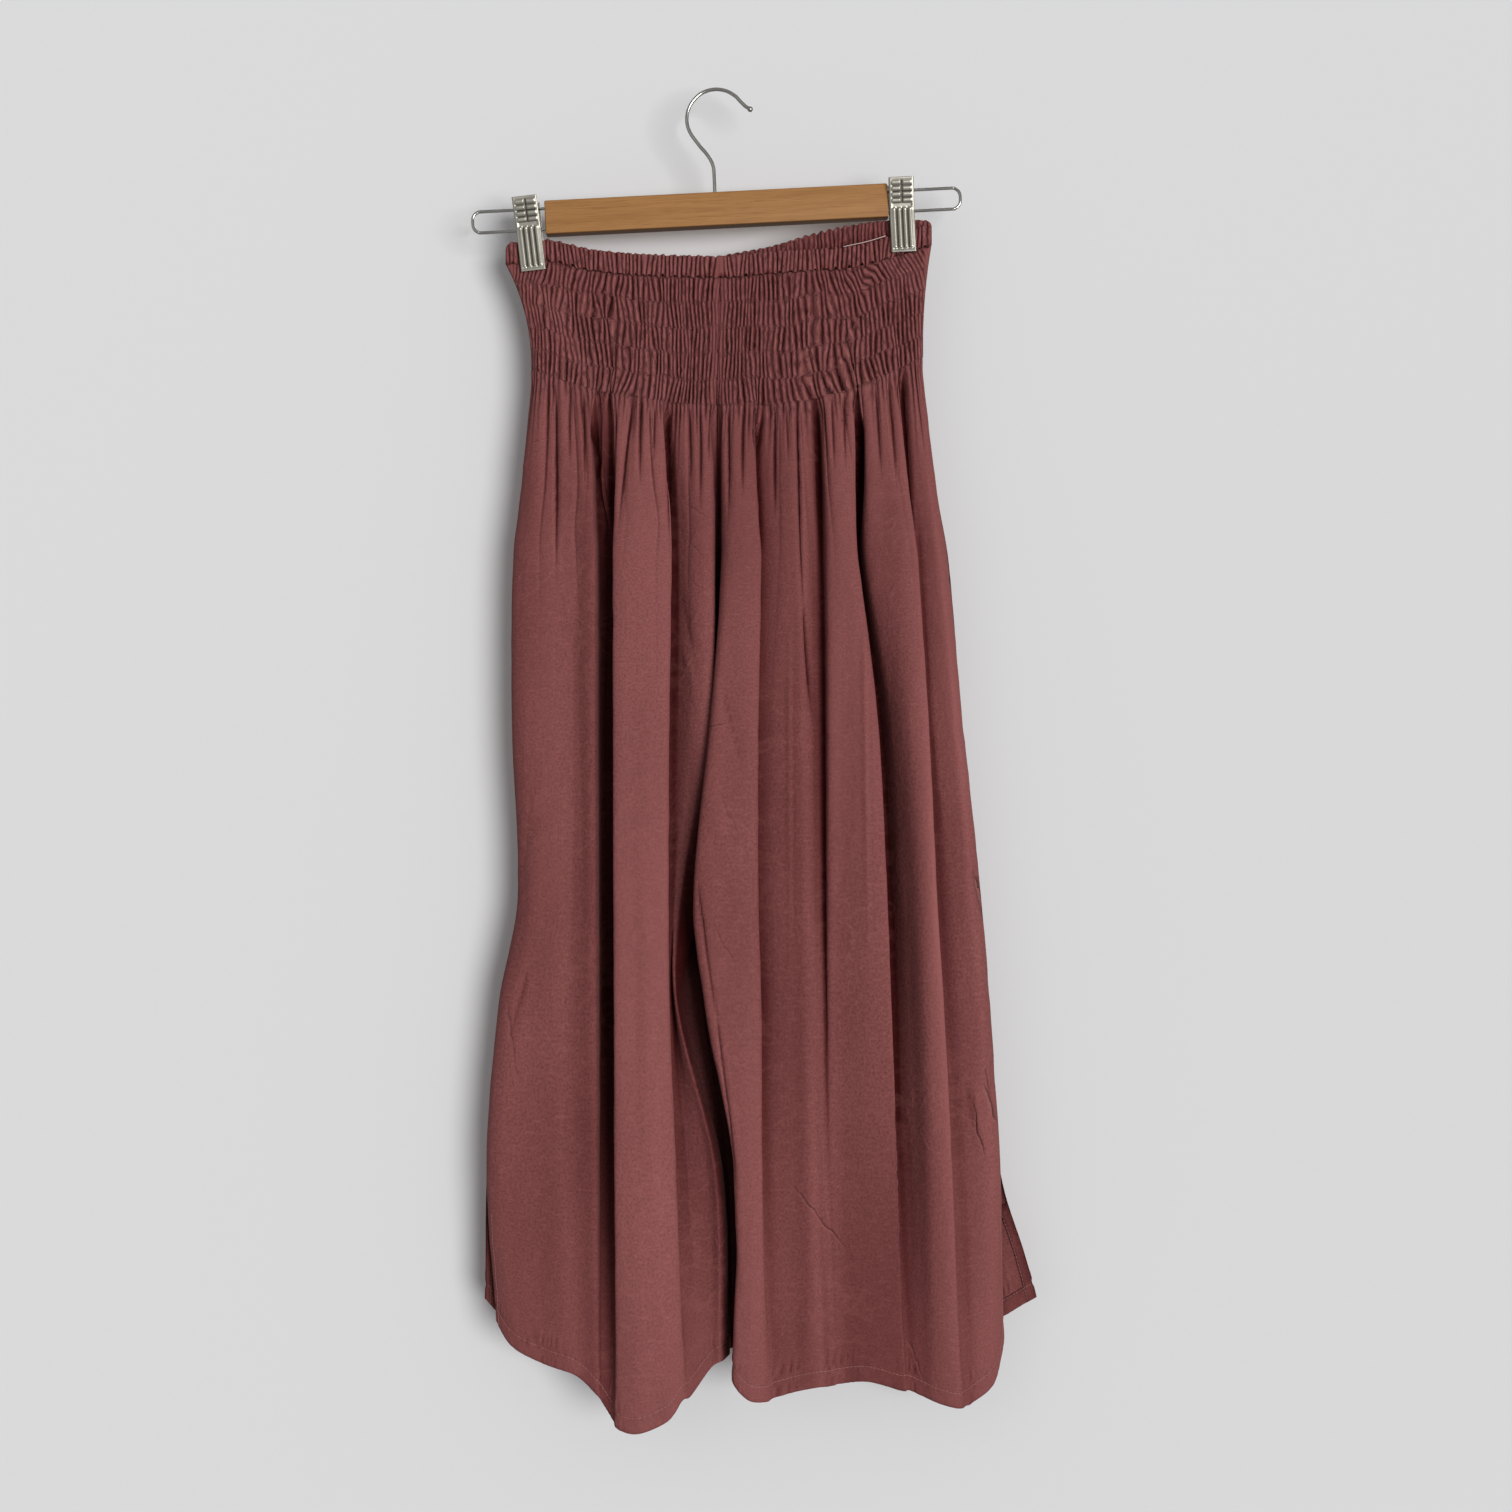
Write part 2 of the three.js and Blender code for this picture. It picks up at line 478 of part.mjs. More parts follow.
function hanger() {
  const group = new THREE.Group();
  const [h, d, r] = [BAR.height / 2, BAR.depth / 2, BAR.edge];
  const end = new THREE.Shape();
  end.absarc(d - r, h - r, r, 0, Math.PI / 2);
  end.absarc(r - d, h - r, r, Math.PI / 2, Math.PI);
  end.absarc(r - d, r - h, r, Math.PI, 1.5 * Math.PI);
  end.absarc(d - r, r - h, r, 1.5 * Math.PI, 2 * Math.PI);
  const stick = new THREE.ExtrudeGeometry(end, { depth: BAR.length, bevelEnabled: false, curveSegments: 3 });
  stick.applyMatrix4(new THREE.Matrix4().makeBasis(
    new THREE.Vector3(0, 1, 0), new THREE.Vector3(0, 0, 1), new THREE.Vector3(1, 0, 0),
  )).translate(-BAR.length / 2, 0, 0);
  group.add(mesh("bar", stick, wood));
  group.add(mesh("loop_left", wire(loopPath(-1), LOOP.wire, 17), steel));
  group.add(mesh("loop_right", wire(loopPath(1), LOOP.wire, 17), steel));
  group.add(clip("clip_left", -CLIP.left, CLIP.lean), clip("clip_right", CLIP.right, 0));
  group.position.z = BAR.z;
  group.rotation.y = -TILT;
  return group;
}

function hook() {
  const path = hookPath();
  const [x, z] = path.at(-1);
  const ball = new THREE.SphereGeometry(HOOK.tip, 10, 7).translate(x, 0, z);
  return geometryOf(solidOf(wire(path, HOOK.wire, 30)).add(solidOf(ball)));
}

// ---------------------------------------------------------------- the whole
const panels = {
  front_left: { folds: foldsOf(FRONT_LEFT, -1), right: false, facing: -1 },
  front_right: { folds: foldsOf(FRONT_RIGHT, 1), right: true, facing: -1 },
  back_left: { folds: foldsOf(BACK_LEFT, -1), right: false, facing: 1 },
  back_right: { folds: foldsOf(BACK_RIGHT, 1), right: true, facing: 1 },
};

const trousers = new THREE.Group();
for (const [name, panel] of Object.entries(panels)) trousers.add(mesh(name, panelWall(panel), rayon));
trousers.add(mesh("casing_front", casingWall(-1), rayon), mesh("casing_back", casingWall(1), rayon));
trousers.add(mesh("hook", hook(), steel), hanger());

export default trousers;
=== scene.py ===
# %% [markdown]
# # Harem pants on a clip hanger
# Wide cropped trousers in thin rayon, with a deep waist gathered on rows of elastic thread. Two
# metal clips hold them on a wooden hanger. The construction model gives every piece its place, and
# this lesson makes what the eye sees: soft folds, gathers, sewing, wood grain and bright wire.
#
# We start by loading the construction model.

# %% Load the frame
import math

import bmesh
import bpy
import numpy as np
from mathutils import Matrix, Vector


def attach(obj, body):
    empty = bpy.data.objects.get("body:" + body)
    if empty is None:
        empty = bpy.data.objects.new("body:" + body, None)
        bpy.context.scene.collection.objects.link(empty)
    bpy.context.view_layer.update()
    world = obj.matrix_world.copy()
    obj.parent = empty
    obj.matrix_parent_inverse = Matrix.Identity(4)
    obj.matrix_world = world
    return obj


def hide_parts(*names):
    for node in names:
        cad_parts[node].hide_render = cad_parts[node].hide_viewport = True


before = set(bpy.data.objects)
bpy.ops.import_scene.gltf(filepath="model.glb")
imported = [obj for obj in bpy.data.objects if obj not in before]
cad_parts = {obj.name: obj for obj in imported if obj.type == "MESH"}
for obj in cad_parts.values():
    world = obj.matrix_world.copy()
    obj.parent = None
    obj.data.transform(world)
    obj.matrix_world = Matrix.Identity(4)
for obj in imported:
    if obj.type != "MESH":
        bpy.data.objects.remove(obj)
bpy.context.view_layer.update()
MM = 0.001
print("construction nodes:", len(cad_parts))


def placed(name, data):
    """An object made of this data, added to the scene."""
    thing = bpy.data.objects.new(name, data)
    bpy.context.scene.collection.objects.link(thing)
    return thing


# %% [markdown]
# ## The camera
# A garment is looked at straight on, from about the distance of a person across a small room. The
# lens is a little longer than normal, so that the folds in front don't look much larger.

# %% Camera
EYE = Vector((31.6, -1600, -532)) * MM
camera = placed("camera", bpy.data.cameras.new("camera"))
camera.location = EYE
camera.rotation_euler = (math.radians(90), 0, 0)
camera.data.sensor_width = 36
camera.data.lens = 47.6
bpy.context.scene.camera = camera

# %% [markdown]
# ## The lines of the cloth
# Cloth that hangs from gathers falls in folds, and each fold keeps its line from the waist to the
# hem. So a panel can be drawn as a table: a row for each ridge or valley, with where it lies
# across (x) and how far forward or back (y) at eight heights. Smooth curves through the rows, and
# then down the columns, give the whole surface. A cloth simulation would find folds of its own,
# but these have to be the folds that this pair hangs in.

# %% Heights and edges, in millimetres
LEVELS = np.array([-250.0, -318, -376, -504, -648, -728, -856, -1050])
KNOTS = (LEVELS - LEVELS[0]) / (LEVELS[-1] - LEVELS[0])
CROTCH = KNOTS[4]
LEGS_PART = 0.03

WAIST_EDGE_X = [-170, -136, -100, -60, -20, 10, 45, 75, 105, 137, 173]
WAIST_EDGE_FRONT = [-123, -120, -128, -133, -135.5, -136, -132, -129, -126, -118, -107]
WAIST_EDGE_BACK = [-123, -121, -133, -139.5, -137, -130, -123.5, -115, -108.5, -104, -104]
GATHER_EDGE_X = [-148, -100, -50, 0, 50, 100, 130, 165]
GATHER_EDGE_Z = [-224, -240, -249, -253, -252, -243, -231, -214]
WAIST_LEFT, WAIST_RIGHT, WAIST_MIDDLE = -168.5, 172, 3
CENTRE = [1, 1, 1, -1, -8, -8, 11.5, 15]
PARTING = {"left": [0, 0, 0, 0, 3, 18, 7, 5], "right": [0, 0, 0, 0, 0, 7, 5.5, 5]}

# %% Fold lines: name, x at each height, y at each height, height of the hem there
FRONT_LEFT = [
    ("side seam", [-148, -157, -163, -164, -160, -174, -184, -176],
     [0, 0, 0, 0, 0, 0, 0, 0], -982),
    ("side roll", [-139, -147, -152, -154, -150, -163, -173, -163],
     [-8, -11, -12, -13, -13, -13, -13, -12], -1000),
    ("side's face", [-129, -130, -131, -133, -133, -142, -150, -139],
     [-8, -14, -17, -18, -18, -18, -17, -18], -1012),
    ("outer face", [-114, -112, -111, -113, -114, -117, -120, -112],
     [-10, -18, -22, -24, -24, -24, -22, -23], -1020),
    ("valley's lip", [-99, -98, -95.5, -95.5, -95, -95, -95, -95],
     [-9, -19, -26, -29, -29, -29, -28, -26], -1034),
    ("valley's foot", [-96, -95.5, -92.5, -92, -91.5, -91.5, -91.5, -90],
     [-5, -4, -6, -3, -2, -3, -10, -24], -1041),
    ("valley's floor", [-90, -90, -84, -79, -78, -78, -79, -85],
     [-9, -14, -4, 1, 2, 1, -8, -25], -1048),
    ("under the pleat", [-84.5, -83.5, -77, -74, -73, -73, -74, -80.5],
     [-5, -6, -14, -16, -17, -17, -20, -28], -1054),
    ("pleat, left edge", [-82, -81, -81, -80.5, -80, -79.5, -79, -76],
     [-10, -21, -28, -33, -35, -35, -34, -33], -1060),
    ("pleat's crown", [-66, -65, -63, -62, -62, -62, -61, -60],
     [-11, -25, -33, -38, -40, -40, -39, -37], -1062),
    ("pleat's right side", [-52, -49, -47, -48, -48, -47, -44, -38],
     [-11, -25, -32, -38, -40, -40, -38, -36], -1053),
    ("pleat, right edge", [-43, -36, -34.5, -36, -36.5, -35.8, -31.5, -27],
     [-10, -22, -29, -34, -36, -35, -31, -31], -1038),
    ("under the right edge", [-40, -38, -38, -41, -42, -41, -37, -21],
     [-7, -11, -14, -16, -15, -16, -17, -28], -1036),
    ("inner valley", [-36, -34.5, -33, -34, -35, -34, -27, -14],
     [-6, -7, -8, -8, -6, -9, -11, -23], -1029),
    ("inner roll", [-20, -19, -18, -19, -33, -33.5, -9, -3],
     [-9, -15, -17, -17, -6, -15, -14, -19], -1015),
    ("inner lip", [-5, -3, -2.5, -4, -27, -30, 0, 5],
     [-9, -16, -18, -19, -5, -15, -18, -18], -1010),
    ("centre and inseam", CENTRE,
     [-7, -6, -5, -2, -1, 0, 0, 0], -1009),
]
FRONT_RIGHT = [
    ("centre and inseam", CENTRE,
     [-7, -6, -5, -2, -1, 0, 0, 0], -1012),
    ("inner edge", [5, 5, 5.5, -4, -18.5, -8.5, 13.5, 13],
     [-10, -18, -24, -28, -30, -29, -29, -30], -1022),
    ("inner crown", [14, 15, 16, 10, 0, 6, 24, 25],
     [-11, -24, -30, -34, -36, -35, -34, -35], -1036),
    ("pleat edge", [31, 34, 35.5, 33.1, 32.3, 34.8, 36.3, 39],
     [-10, -22, -29, -33, -34, -34, -32, -31], -1039),
    ("under the edge", [32, 33, 33, 30, 29, 31.5, 33.5, 45],
     [-8, -15, -18, -19, -20, -21, -25, -28], -1037),
    ("behind the pleat", [37, 38, 38, 37, 37, 39, 41, 51],
     [-7, -11, -13, -14, -15, -15, -19, -26], -1036),
    ("pressed crease", [50, 54, 57, 58, 58, 59, 60, 66],
     [-9, -13, -16, -17, -18, -19, -21, -25], -1032),
    ("middle lip", [62, 65, 67, 69, 70, 71, 73, 80],
     [-9, -15, -18, -19, -20, -21, -23, -26], -1029),
    ("middle valley", [74, 77, 78, 79, 80, 81, 82, 88],
     [-6, -10, -11, -12, -15, -18, -20, -24], -1029),
    ("valley's foot", [80, 83, 85, 86.5, 87, 87.5, 89, 94],
     [-5, -8, -10, -11.5, -14, -17, -19.5, -24], -1028),
    ("ridge, left edge", [86, 88, 88.5, 89.5, 90, 90.5, 92, 97],
     [-10, -18, -21, -22, -22, -21, -20, -24], -1027),
    ("ridge's crown", [98, 99, 100, 106, 110, 112, 114, 120],
     [-10, -21, -26, -26, -26, -25, -24, -25], -1025),
    ("ridge, right edge", [110.5, 111, 112, 127.5, 135, 138, 142.6, 146],
     [-9, -18, -24, -28, -30, -30, -29, -28], -1031),
    ("under the ridge", [111.2, 110.4, 108.5, 122, 129, 132, 137, 151],
     [-7, -10, -12, -13, -14, -17, -21, -26], -1031),
    ("outer valley", [113.2, 113.4, 114, 130, 138, 141, 146, 156],
     [-5, -4, -2, -2, -4, -8, -16, -25], -1033),
    ("outer flank", [115, 117, 120, 139, 149, 153, 158, 163],
     [-9, -18, -19, -17, -18, -19, -22, -27], -1036),
    ("outer crown", [129, 136, 142, 152, 161, 165, 170, 174],
     [-10, -23, -28, -31, -32, -33, -32, -30], -1040),
    ("bright edge", [144, 153, 158.5, 166.3, 173.3, 178.7, 185, 191],
     [-9, -23, -29, -33, -35, -35, -34, -31], -1044),
    ("under the bright edge", [145, 151, 154, 162, 168, 173, 180, 197],
     [-7, -13, -17, -18, -17, -18, -22, -28], -1043),
    ("side valley", [150, 158, 163, 171, 178, 184, 192, 203],
     [-6, -8, -8, -8, -9, -11, -15, -23], -1042),
    ("side roll", [159, 170, 178, 190, 203, 209, 218, 221],
     [-8, -10, -12, -14, -15, -15, -15, -14], -1028),
    ("side seam", [165, 177, 186, 197, 212, 218, 227, 230],
     [0, 0, 0, 0, 0, 0, 0, 0], -996),
]
BACK_LEFT = [
    ("side seam", [-148, -157, -163, -164, -160, -174, -184, -186],
     [0, 0, 0, 0, 0, 0, 0, 3], -967),
    ("side roll", [-136, -142, -146, -147, -144, -154, -166, -168],
     [8, 11, 13, 15, 15, 15, 15, 14], -990),
    ("outer valley", [-118, -120, -122, -123, -123, -128, -136, -136],
     [6, 7, 8, 8, 8, 8, 9, 10], -1004),
    ("outer ridge", [-99, -100, -101, -103, -103, -105, -110, -112],
     [9, 17, 22, 26, 28, 30, 32, 33], -1012),
    ("middle valley", [-80, -82, -84, -85, -85, -86, -86, -86],
     [6, 7, 8, 8, 9, 10, 12, 14], -1018),
    ("inner ridge", [-56, -57, -57, -56, -56, -54, -50, -48],
     [9, 22, 30, 35, 37, 37, 36, 35], -1026),
    ("inner valley", [-32, -33, -34, -34, -36, -30, -20, -16],
     [6, 8, 9, 9, 10, 11, 12, 13], -1018),
    ("inner roll", [-13, -13, -13, -14, -16, -3, 16, 20],
     [9, 15, 20, 22, 22, 24, 25, 24], -1010),
    ("centre and inseam", CENTRE,
     [6, 7, 8, 5, 1.6, 0, 0, 0], -1006),
]
BACK_RIGHT = [
    ("centre and inseam", CENTRE,
     [6, 7, 8, 5, 1.6, 0, 0, 0], -1008),
    ("inner roll", [14, 15, 16, 14, 6, 12, 27, 30],
     [9, 15, 19, 20, 18, 18, 18, 18], -1012),
    ("inner valley", [32, 33, 34, 34, 32, 34, 44, 48],
     [6, 7, 8, 8, 9, 9, 10, 12], -1020),
    ("inner ridge", [52, 53, 53, 54, 54, 57, 64, 68],
     [9, 16, 22, 25, 25, 25, 25, 25], -1024),
    ("middle valley", [71, 72, 73, 75, 76, 79, 84, 88],
     [6, 7, 8, 9, 10, 11, 12, 14], -1022),
    ("outer ridge", [96, 99, 102, 106, 109, 112, 118, 122],
     [9, 22, 30, 36, 38, 38, 37, 36], -1028),
    ("outer valley", [122, 127, 130, 136, 142, 145, 150, 154],
     [6, 7, 8, 8, 9, 9, 10, 12], -1018),
    ("side ridge", [142, 149, 154, 163, 172, 176, 181, 186],
     [9, 17, 22, 25, 26, 26, 26, 24], -1006),
    ("flare", [157, 168, 176, 184, 197, 202, 213, 228],
     [8, 11, 12, 13, 13, 13, 13, 9], -984),
    ("side seam", [165, 177, 186, 197, 212, 218, 227, 258],
     [0, 0, 0, 0, 0, 0, 0, 5], -966),
]
FRONT_GRID = {"columns": 250, "yoke": 80, "leg": 116}
BACK_GRID = {"columns": 200, "yoke": 52, "leg": 88}
PANELS = {
    "front_left": {"folds": FRONT_LEFT, "right": False, "facing": -1, "seed": 11, "grid": FRONT_GRID},
    "front_right": {"folds": FRONT_RIGHT, "right": True, "facing": -1, "seed": 12, "grid": FRONT_GRID},
    "back_left": {"folds": BACK_LEFT, "right": False, "facing": 1, "seed": 13, "grid": BACK_GRID},
    "back_right": {"folds": BACK_RIGHT, "right": True, "facing": 1, "seed": 14, "grid": BACK_GRID},
}
print("fold lines:", {name: len(p["folds"]) for name, p in PANELS.items()})


# %% A smooth curve through a table's values
def through(knots, values, t):
    knots, values, t = np.asarray(knots, float), np.asarray(values, float), np.asarray(t, float)
    i = np.clip(np.searchsorted(knots, t, side="right") - 1, 0, len(knots) - 2)
    number = np.arange(len(knots))
    before, after = np.maximum(number - 1, 0), np.minimum(number + 1, len(knots) - 1)
    slope = (values[after] - values[before]) / (knots[after] - knots[before])
    span = knots[i + 1] - knots[i]
    u = np.clip((t - knots[i]) / span, 0, 1)
    ease, lift, drop = 3 * u**2 - 2 * u**3, u**3 - 2 * u**2 + u, u**3 - u**2
    return (1 - ease) * values[i] + ease * values[i + 1] + span * (lift * slope[i] + drop * slope[i + 1])


def smoothstep(low, high, value):
    s = np.clip((value - low) / (high - low), 0, 1)
    return s * s * (3 - 2 * s)


# %% Sections across the fold lines
SEAM_TURN = 24


def fold_places(panel, t):
    places = []
    for name, x, y, hem in panel["folds"]:
        z = [through(GATHER_EDGE_X, GATHER_EDGE_Z, x[0]), *LEVELS[1:-1], hem]
        parted = 0
        if name == "centre and inseam":
            parting = PARTING["left" if panel["facing"] < 0 and not panel["right"] else "right"]
            gap = np.maximum(0, through(KNOTS, parting, t)) * (1 if panel["facing"] < 0 else 0.4)
            parted = (1 if panel["right"] else -1) * gap
        x_at, y_at, z_at = (through(KNOTS, values, t) for values in (x, y, z))
        places.append(np.stack([x_at + parted, y_at, z_at], -1))
    return np.stack(places, 1)


def with_ends(panel, places, t):
    """Adds a point past each edge: straight across the centre seam, and round the other seams."""
    def turned(p):
        return p * [1, -1, 1]

    def across(p, way):
        legs = smoothstep(CROTCH - LEGS_PART, CROTCH + LEGS_PART, t)[:, None]
        return (p + [way * SEAM_TURN, 0, 0]) * (1 - legs) + turned(p) * legs

    first, last = places[:, 1], places[:, -2]
    before = across(first, -1) if panel["right"] else turned(first)
    after = turned(last) if panel["right"] else across(last, 1)
    return np.concatenate([before[:, None], places, after[:, None]], 1)


def on_section(places, s):
    """Places and directions at s, which counts fold lines from the left, on each row's curve."""
    rows = np.arange(len(places))[:, None]
    i = np.clip(np.floor(s).astype(int), 0, places.shape[1] - 4)
    u = (s - i)[..., None]
    a, b, c, d = (places[rows, i + k] for k in range(4))
    p = (b * 2 + (c - a) * u + (2 * a - 5 * b + 4 * c - d) * u**2 + (3 * b - a - 3 * c + d) * u**3) / 2
    way = ((c - a) + 2 * (2 * a - 5 * b + 4 * c - d) * u + 3 * (3 * b - a - 3 * c + d) * u**2) / 2
    way[..., 2] = 0
    return p, way / np.linalg.norm(way, axis=-1, keepdims=True)


def even_steps(places, columns):
    """Steps that are evenly spaced along the cloth in every row."""
    spans = places.shape[1] - 3
    trial = np.linspace(0, spans, 16 * spans + 1)
    p, _ = on_section(places, np.broadcast_to(trial, (len(places), len(trial))))
    length = np.linalg.norm(np.diff(p, axis=1), axis=-1).cumsum(1)
    length = np.concatenate([np.zeros((len(p), 1)), length], 1)
    share = np.linspace(0, 1, columns + 1)
    return np.stack([np.interp(share * row[-1], row, trial) for row in length]), length[:, -1]


# %% [markdown]
# ## The shirred waist
# Above the folds, rows of elastic thread draw the cloth into a band of small gathers. Between two
# rows the cloth puffs, and at each row it is pinched. The gathers aren't a clean corrugation: each
# has its own height, and they shift sideways from band to band. A few seeded random numbers, one
# for each gather and band, give that unevenness, and come out the same every time.

# %% The waist's wall
CASING = 16
SEAM = 0.15
BANDS = 5
GATHERS = 52
DRAW_IN = 2.2
PINCH = 1.6
MOUTH = {-1: 12, 1: 5}
CLIP_CLEAR = 130
CLIP_PLACES = (-156, 143)


def waist_wall(x, drop, facing):
    """The waist at x, drop below its upper edge: it is pressed flat at the clips, and open between."""
    edge = WAIST_EDGE_FRONT if facing < 0 else WAIST_EDGE_BACK
    off = np.minimum(1, np.abs(x - WAIST_MIDDLE) / CLIP_CLEAR)
    open_by = MOUTH[facing] * np.cos(np.pi / 2 * off) ** 2
    near = np.clip(np.minimum(x - WAIST_LEFT, WAIST_RIGHT - x) / (2 * PINCH), 0, 1)
    y = facing * (PINCH * np.sqrt(near * (2 - near)) + open_by)
    return np.stack([x, y, through(WAIST_EDGE_X, edge, x) - drop], -1)


def uneven(seed, count, low, high):
    return np.random.RandomState(seed).uniform(low, high, count)


def pressed_by_clips(x):
    """1 where the cloth is free, and less under the two clips."""
    return 1 - 0.7 * sum(np.exp(-(((x - clip) / 11) ** 4)) for clip in CLIP_PLACES)


# %% Gathers: narrow valleys at uneven distances, which drift from row to row of elastic
def gather_phase(share, band, seed, count):
    """Counts gathers along a piece. The drift is its own for every row of elastic."""
    drift = np.zeros(np.broadcast(share, band).shape)
    places = np.linspace(0, 1, count // 2)
    for level in range(BANDS + 2):
        weight = np.clip(1 - np.abs(band - level), 0, 1)
        drift = drift + weight * np.interp(share, places, uneven(seed * 10 + level, count // 2, -0.5, 0.5))
    return count * share + drift


def band_shift(share, number, seed):
    """The gathers of each band stand a little aside from those of the band above."""
    places = np.linspace(0, 1, GATHERS // 3)
    shift = np.zeros(number.shape)
    for k in range(BANDS):
        aside = np.interp(share, places, uneven(seed + 90 + k, GATHERS // 3, -0.3, 0.3))
        shift = np.where(number == k, aside, shift)
    return shift


def valley_depth(phase, seed, count, narrow=0.2, wide=0.38):
    """From 0 on a ridge to about 1 in a valley. Each valley has a depth and a width of its own."""
    depths, widths = uneven(seed, count + 8, 0.35, 1.2), uneven(seed + 500, count + 8, narrow, wide)
    nearest = np.round(phase)
    number = np.clip(nearest.astype(int) + 4, 0, count + 7)
    return depths[number] * np.exp(-(((phase - nearest) / widths[number]) ** 2))


# %% [markdown]
# ## Creases one by one
# The large folds carry smaller ones: tucks that run out of the gathers, pressed lines, wrinkles at
# the seams. Each is a short stroke on the surface, drawn from one end to the other with a depth
# and a width, and it fades at its ends. A stroke with a depth below zero is a trough.

# %% Strokes on the front: x and z at the start, x and z at the end, depth, width
STROKES = {
    "front_left": [
        (-128, -236, -127, -390, -3.6, 1.9),
        (-117, -238, -116, -300, -2.6, 1.8),
        (-106, -241, -104, -318, -3.0, 1.9),
        (-98, -248, -95, -298, -3.4, 1.5),
        (-95.4, -290, -88.5, -364, -3.6, 1.5),
        (-90, -252, -91.6, -305, -3.0, 1.4),
        (-91.6, -298, -88, -364, -3.4, 1.4),
        (-80, -250, -82.6, -366, -3.6, 1.5),
        (-67, -250, -77, -352, -4.0, 2.0),
        (-60, -251, -60, -318, -2.8, 1.8),
        (-49, -252, -49, -300, -2.6, 1.8),
        (-38, -253, -35, -372, -4.0, 2.0),
        (-22, -254, -21, -322, -2.6, 1.8),
        (-13, -254, -12, -334, -3.0, 1.9),
        (-5, -254, -6, -300, -2.2, 1.6),
        (-162, -300, -128, -296, 1.4, 4.0),
        (-160, -316, -138, -318, -1.0, 4.0),
        (-150, -705, -168, -770, -1.8, 4.0),
        (-146, -560, -158, -640, -1.2, 5.0),
        (-62, -640, -58, -900, -0.9, 7.0),
        (-108, -480, -104, -760, -0.8, 5.0),
        (-47, -820, -44, -1020, 1.0, 6.0),
        (-150, -1000, -128, -985, 1.2, 3.0),
        (-30, -400, -12, -470, -1.0, 3.0),
        (-28, -440, -10, -500, 0.9, 3.0),
    ],
    "front_right": [
        (9, -254, 9, -345, -3.6, 1.9),
        (22, -253, 21, -326, -3.0, 1.8),
        (31, -253, 36, -366, -4.0, 2.0),
        (46, -252, 47, -342, -3.0, 1.9),
        (55, -251, 57, -300, -2.2, 1.8),
        (65, -250, 70, -420, -4.6, 1.9),
        (70, -415, 76, -500, -3.6, 1.8),
        (80, -247, 84, -380, -3.6, 2.1),
        (92, -244, 93, -310, -2.4, 1.8),
        (102, -242, 103, -305, -2.2, 1.8),
        (113, -256, 113, -378, -4.4, 2.2),
        (126, -235, 131, -310, -2.8, 1.9),
        (137, -230, 142, -318, -3.0, 2.0),
        (149, -224, 158, -360, -5.0, 2.2),
        (158, -218, 167, -300, -2.6, 1.9),
        (58, -430, 59, -720, 1.1, 1.8),
        (117, -420, 120, -700, 1.2, 2.0),
        (-14, -630, 0, -735, -2.3, 0.9),
        (0, -730, 17, -880, -2.2, 0.9),
        (205, -620, 214, -668, -2.4, 4.5),
        (213, -775, 221, -820, -2.2, 4.0),
        (203, -790, 214, -850, 1.8, 3.4),
        (190, -510, 200, -518, -1.6, 4.0),
        (186, -388, 192, -392, -1.4, 4.0),
        (3, -470, 26, -560, -1.5, 5.0),
        (-6, -560, 22, -640, 1.5, 6.0),
        (-10, -700, 12, -760, -1.3, 5.0),
        (150, -800, 158, -1010, -1.0, 7.0),
        (12, -900, 22, -1010, -1.3, 5.0),
        (74, -960, 70, -1025, 1.2, 6.0),
    ],
    "back_left": [
        (-120, -232, -122, -330, -3.0, 3.0),
        (-92, -244, -94, -360, -3.2, 2.8),
        (-66, -250, -70, -340, -3.4, 2.8),
        (-40, -253, -38, -372, -2.8, 2.6),
        (-22, -254, -22, -330, -2.4, 2.4),
        (-150, -610, -166, -690, -1.8, 4.5),
        (-70, -880, -30, -950, 1.4, 4.5),
    ],
    "back_right": [
        (20, -254, 22, -350, -2.6, 2.6),
        (42, -252, 46, -372, -3.2, 2.8),
        (64, -251, 66, -330, -3.0, 2.6),
        (88, -247, 94, -366, -3.2, 2.8),
        (112, -241, 118, -340, -2.8, 2.6),
        (140, -230, 150, -330, -3.0, 2.8),
        (120, -760, 176, -820, 1.4, 4.5),
        (204, -640, 213, -700, -2.0, 4.0),
    ],
}
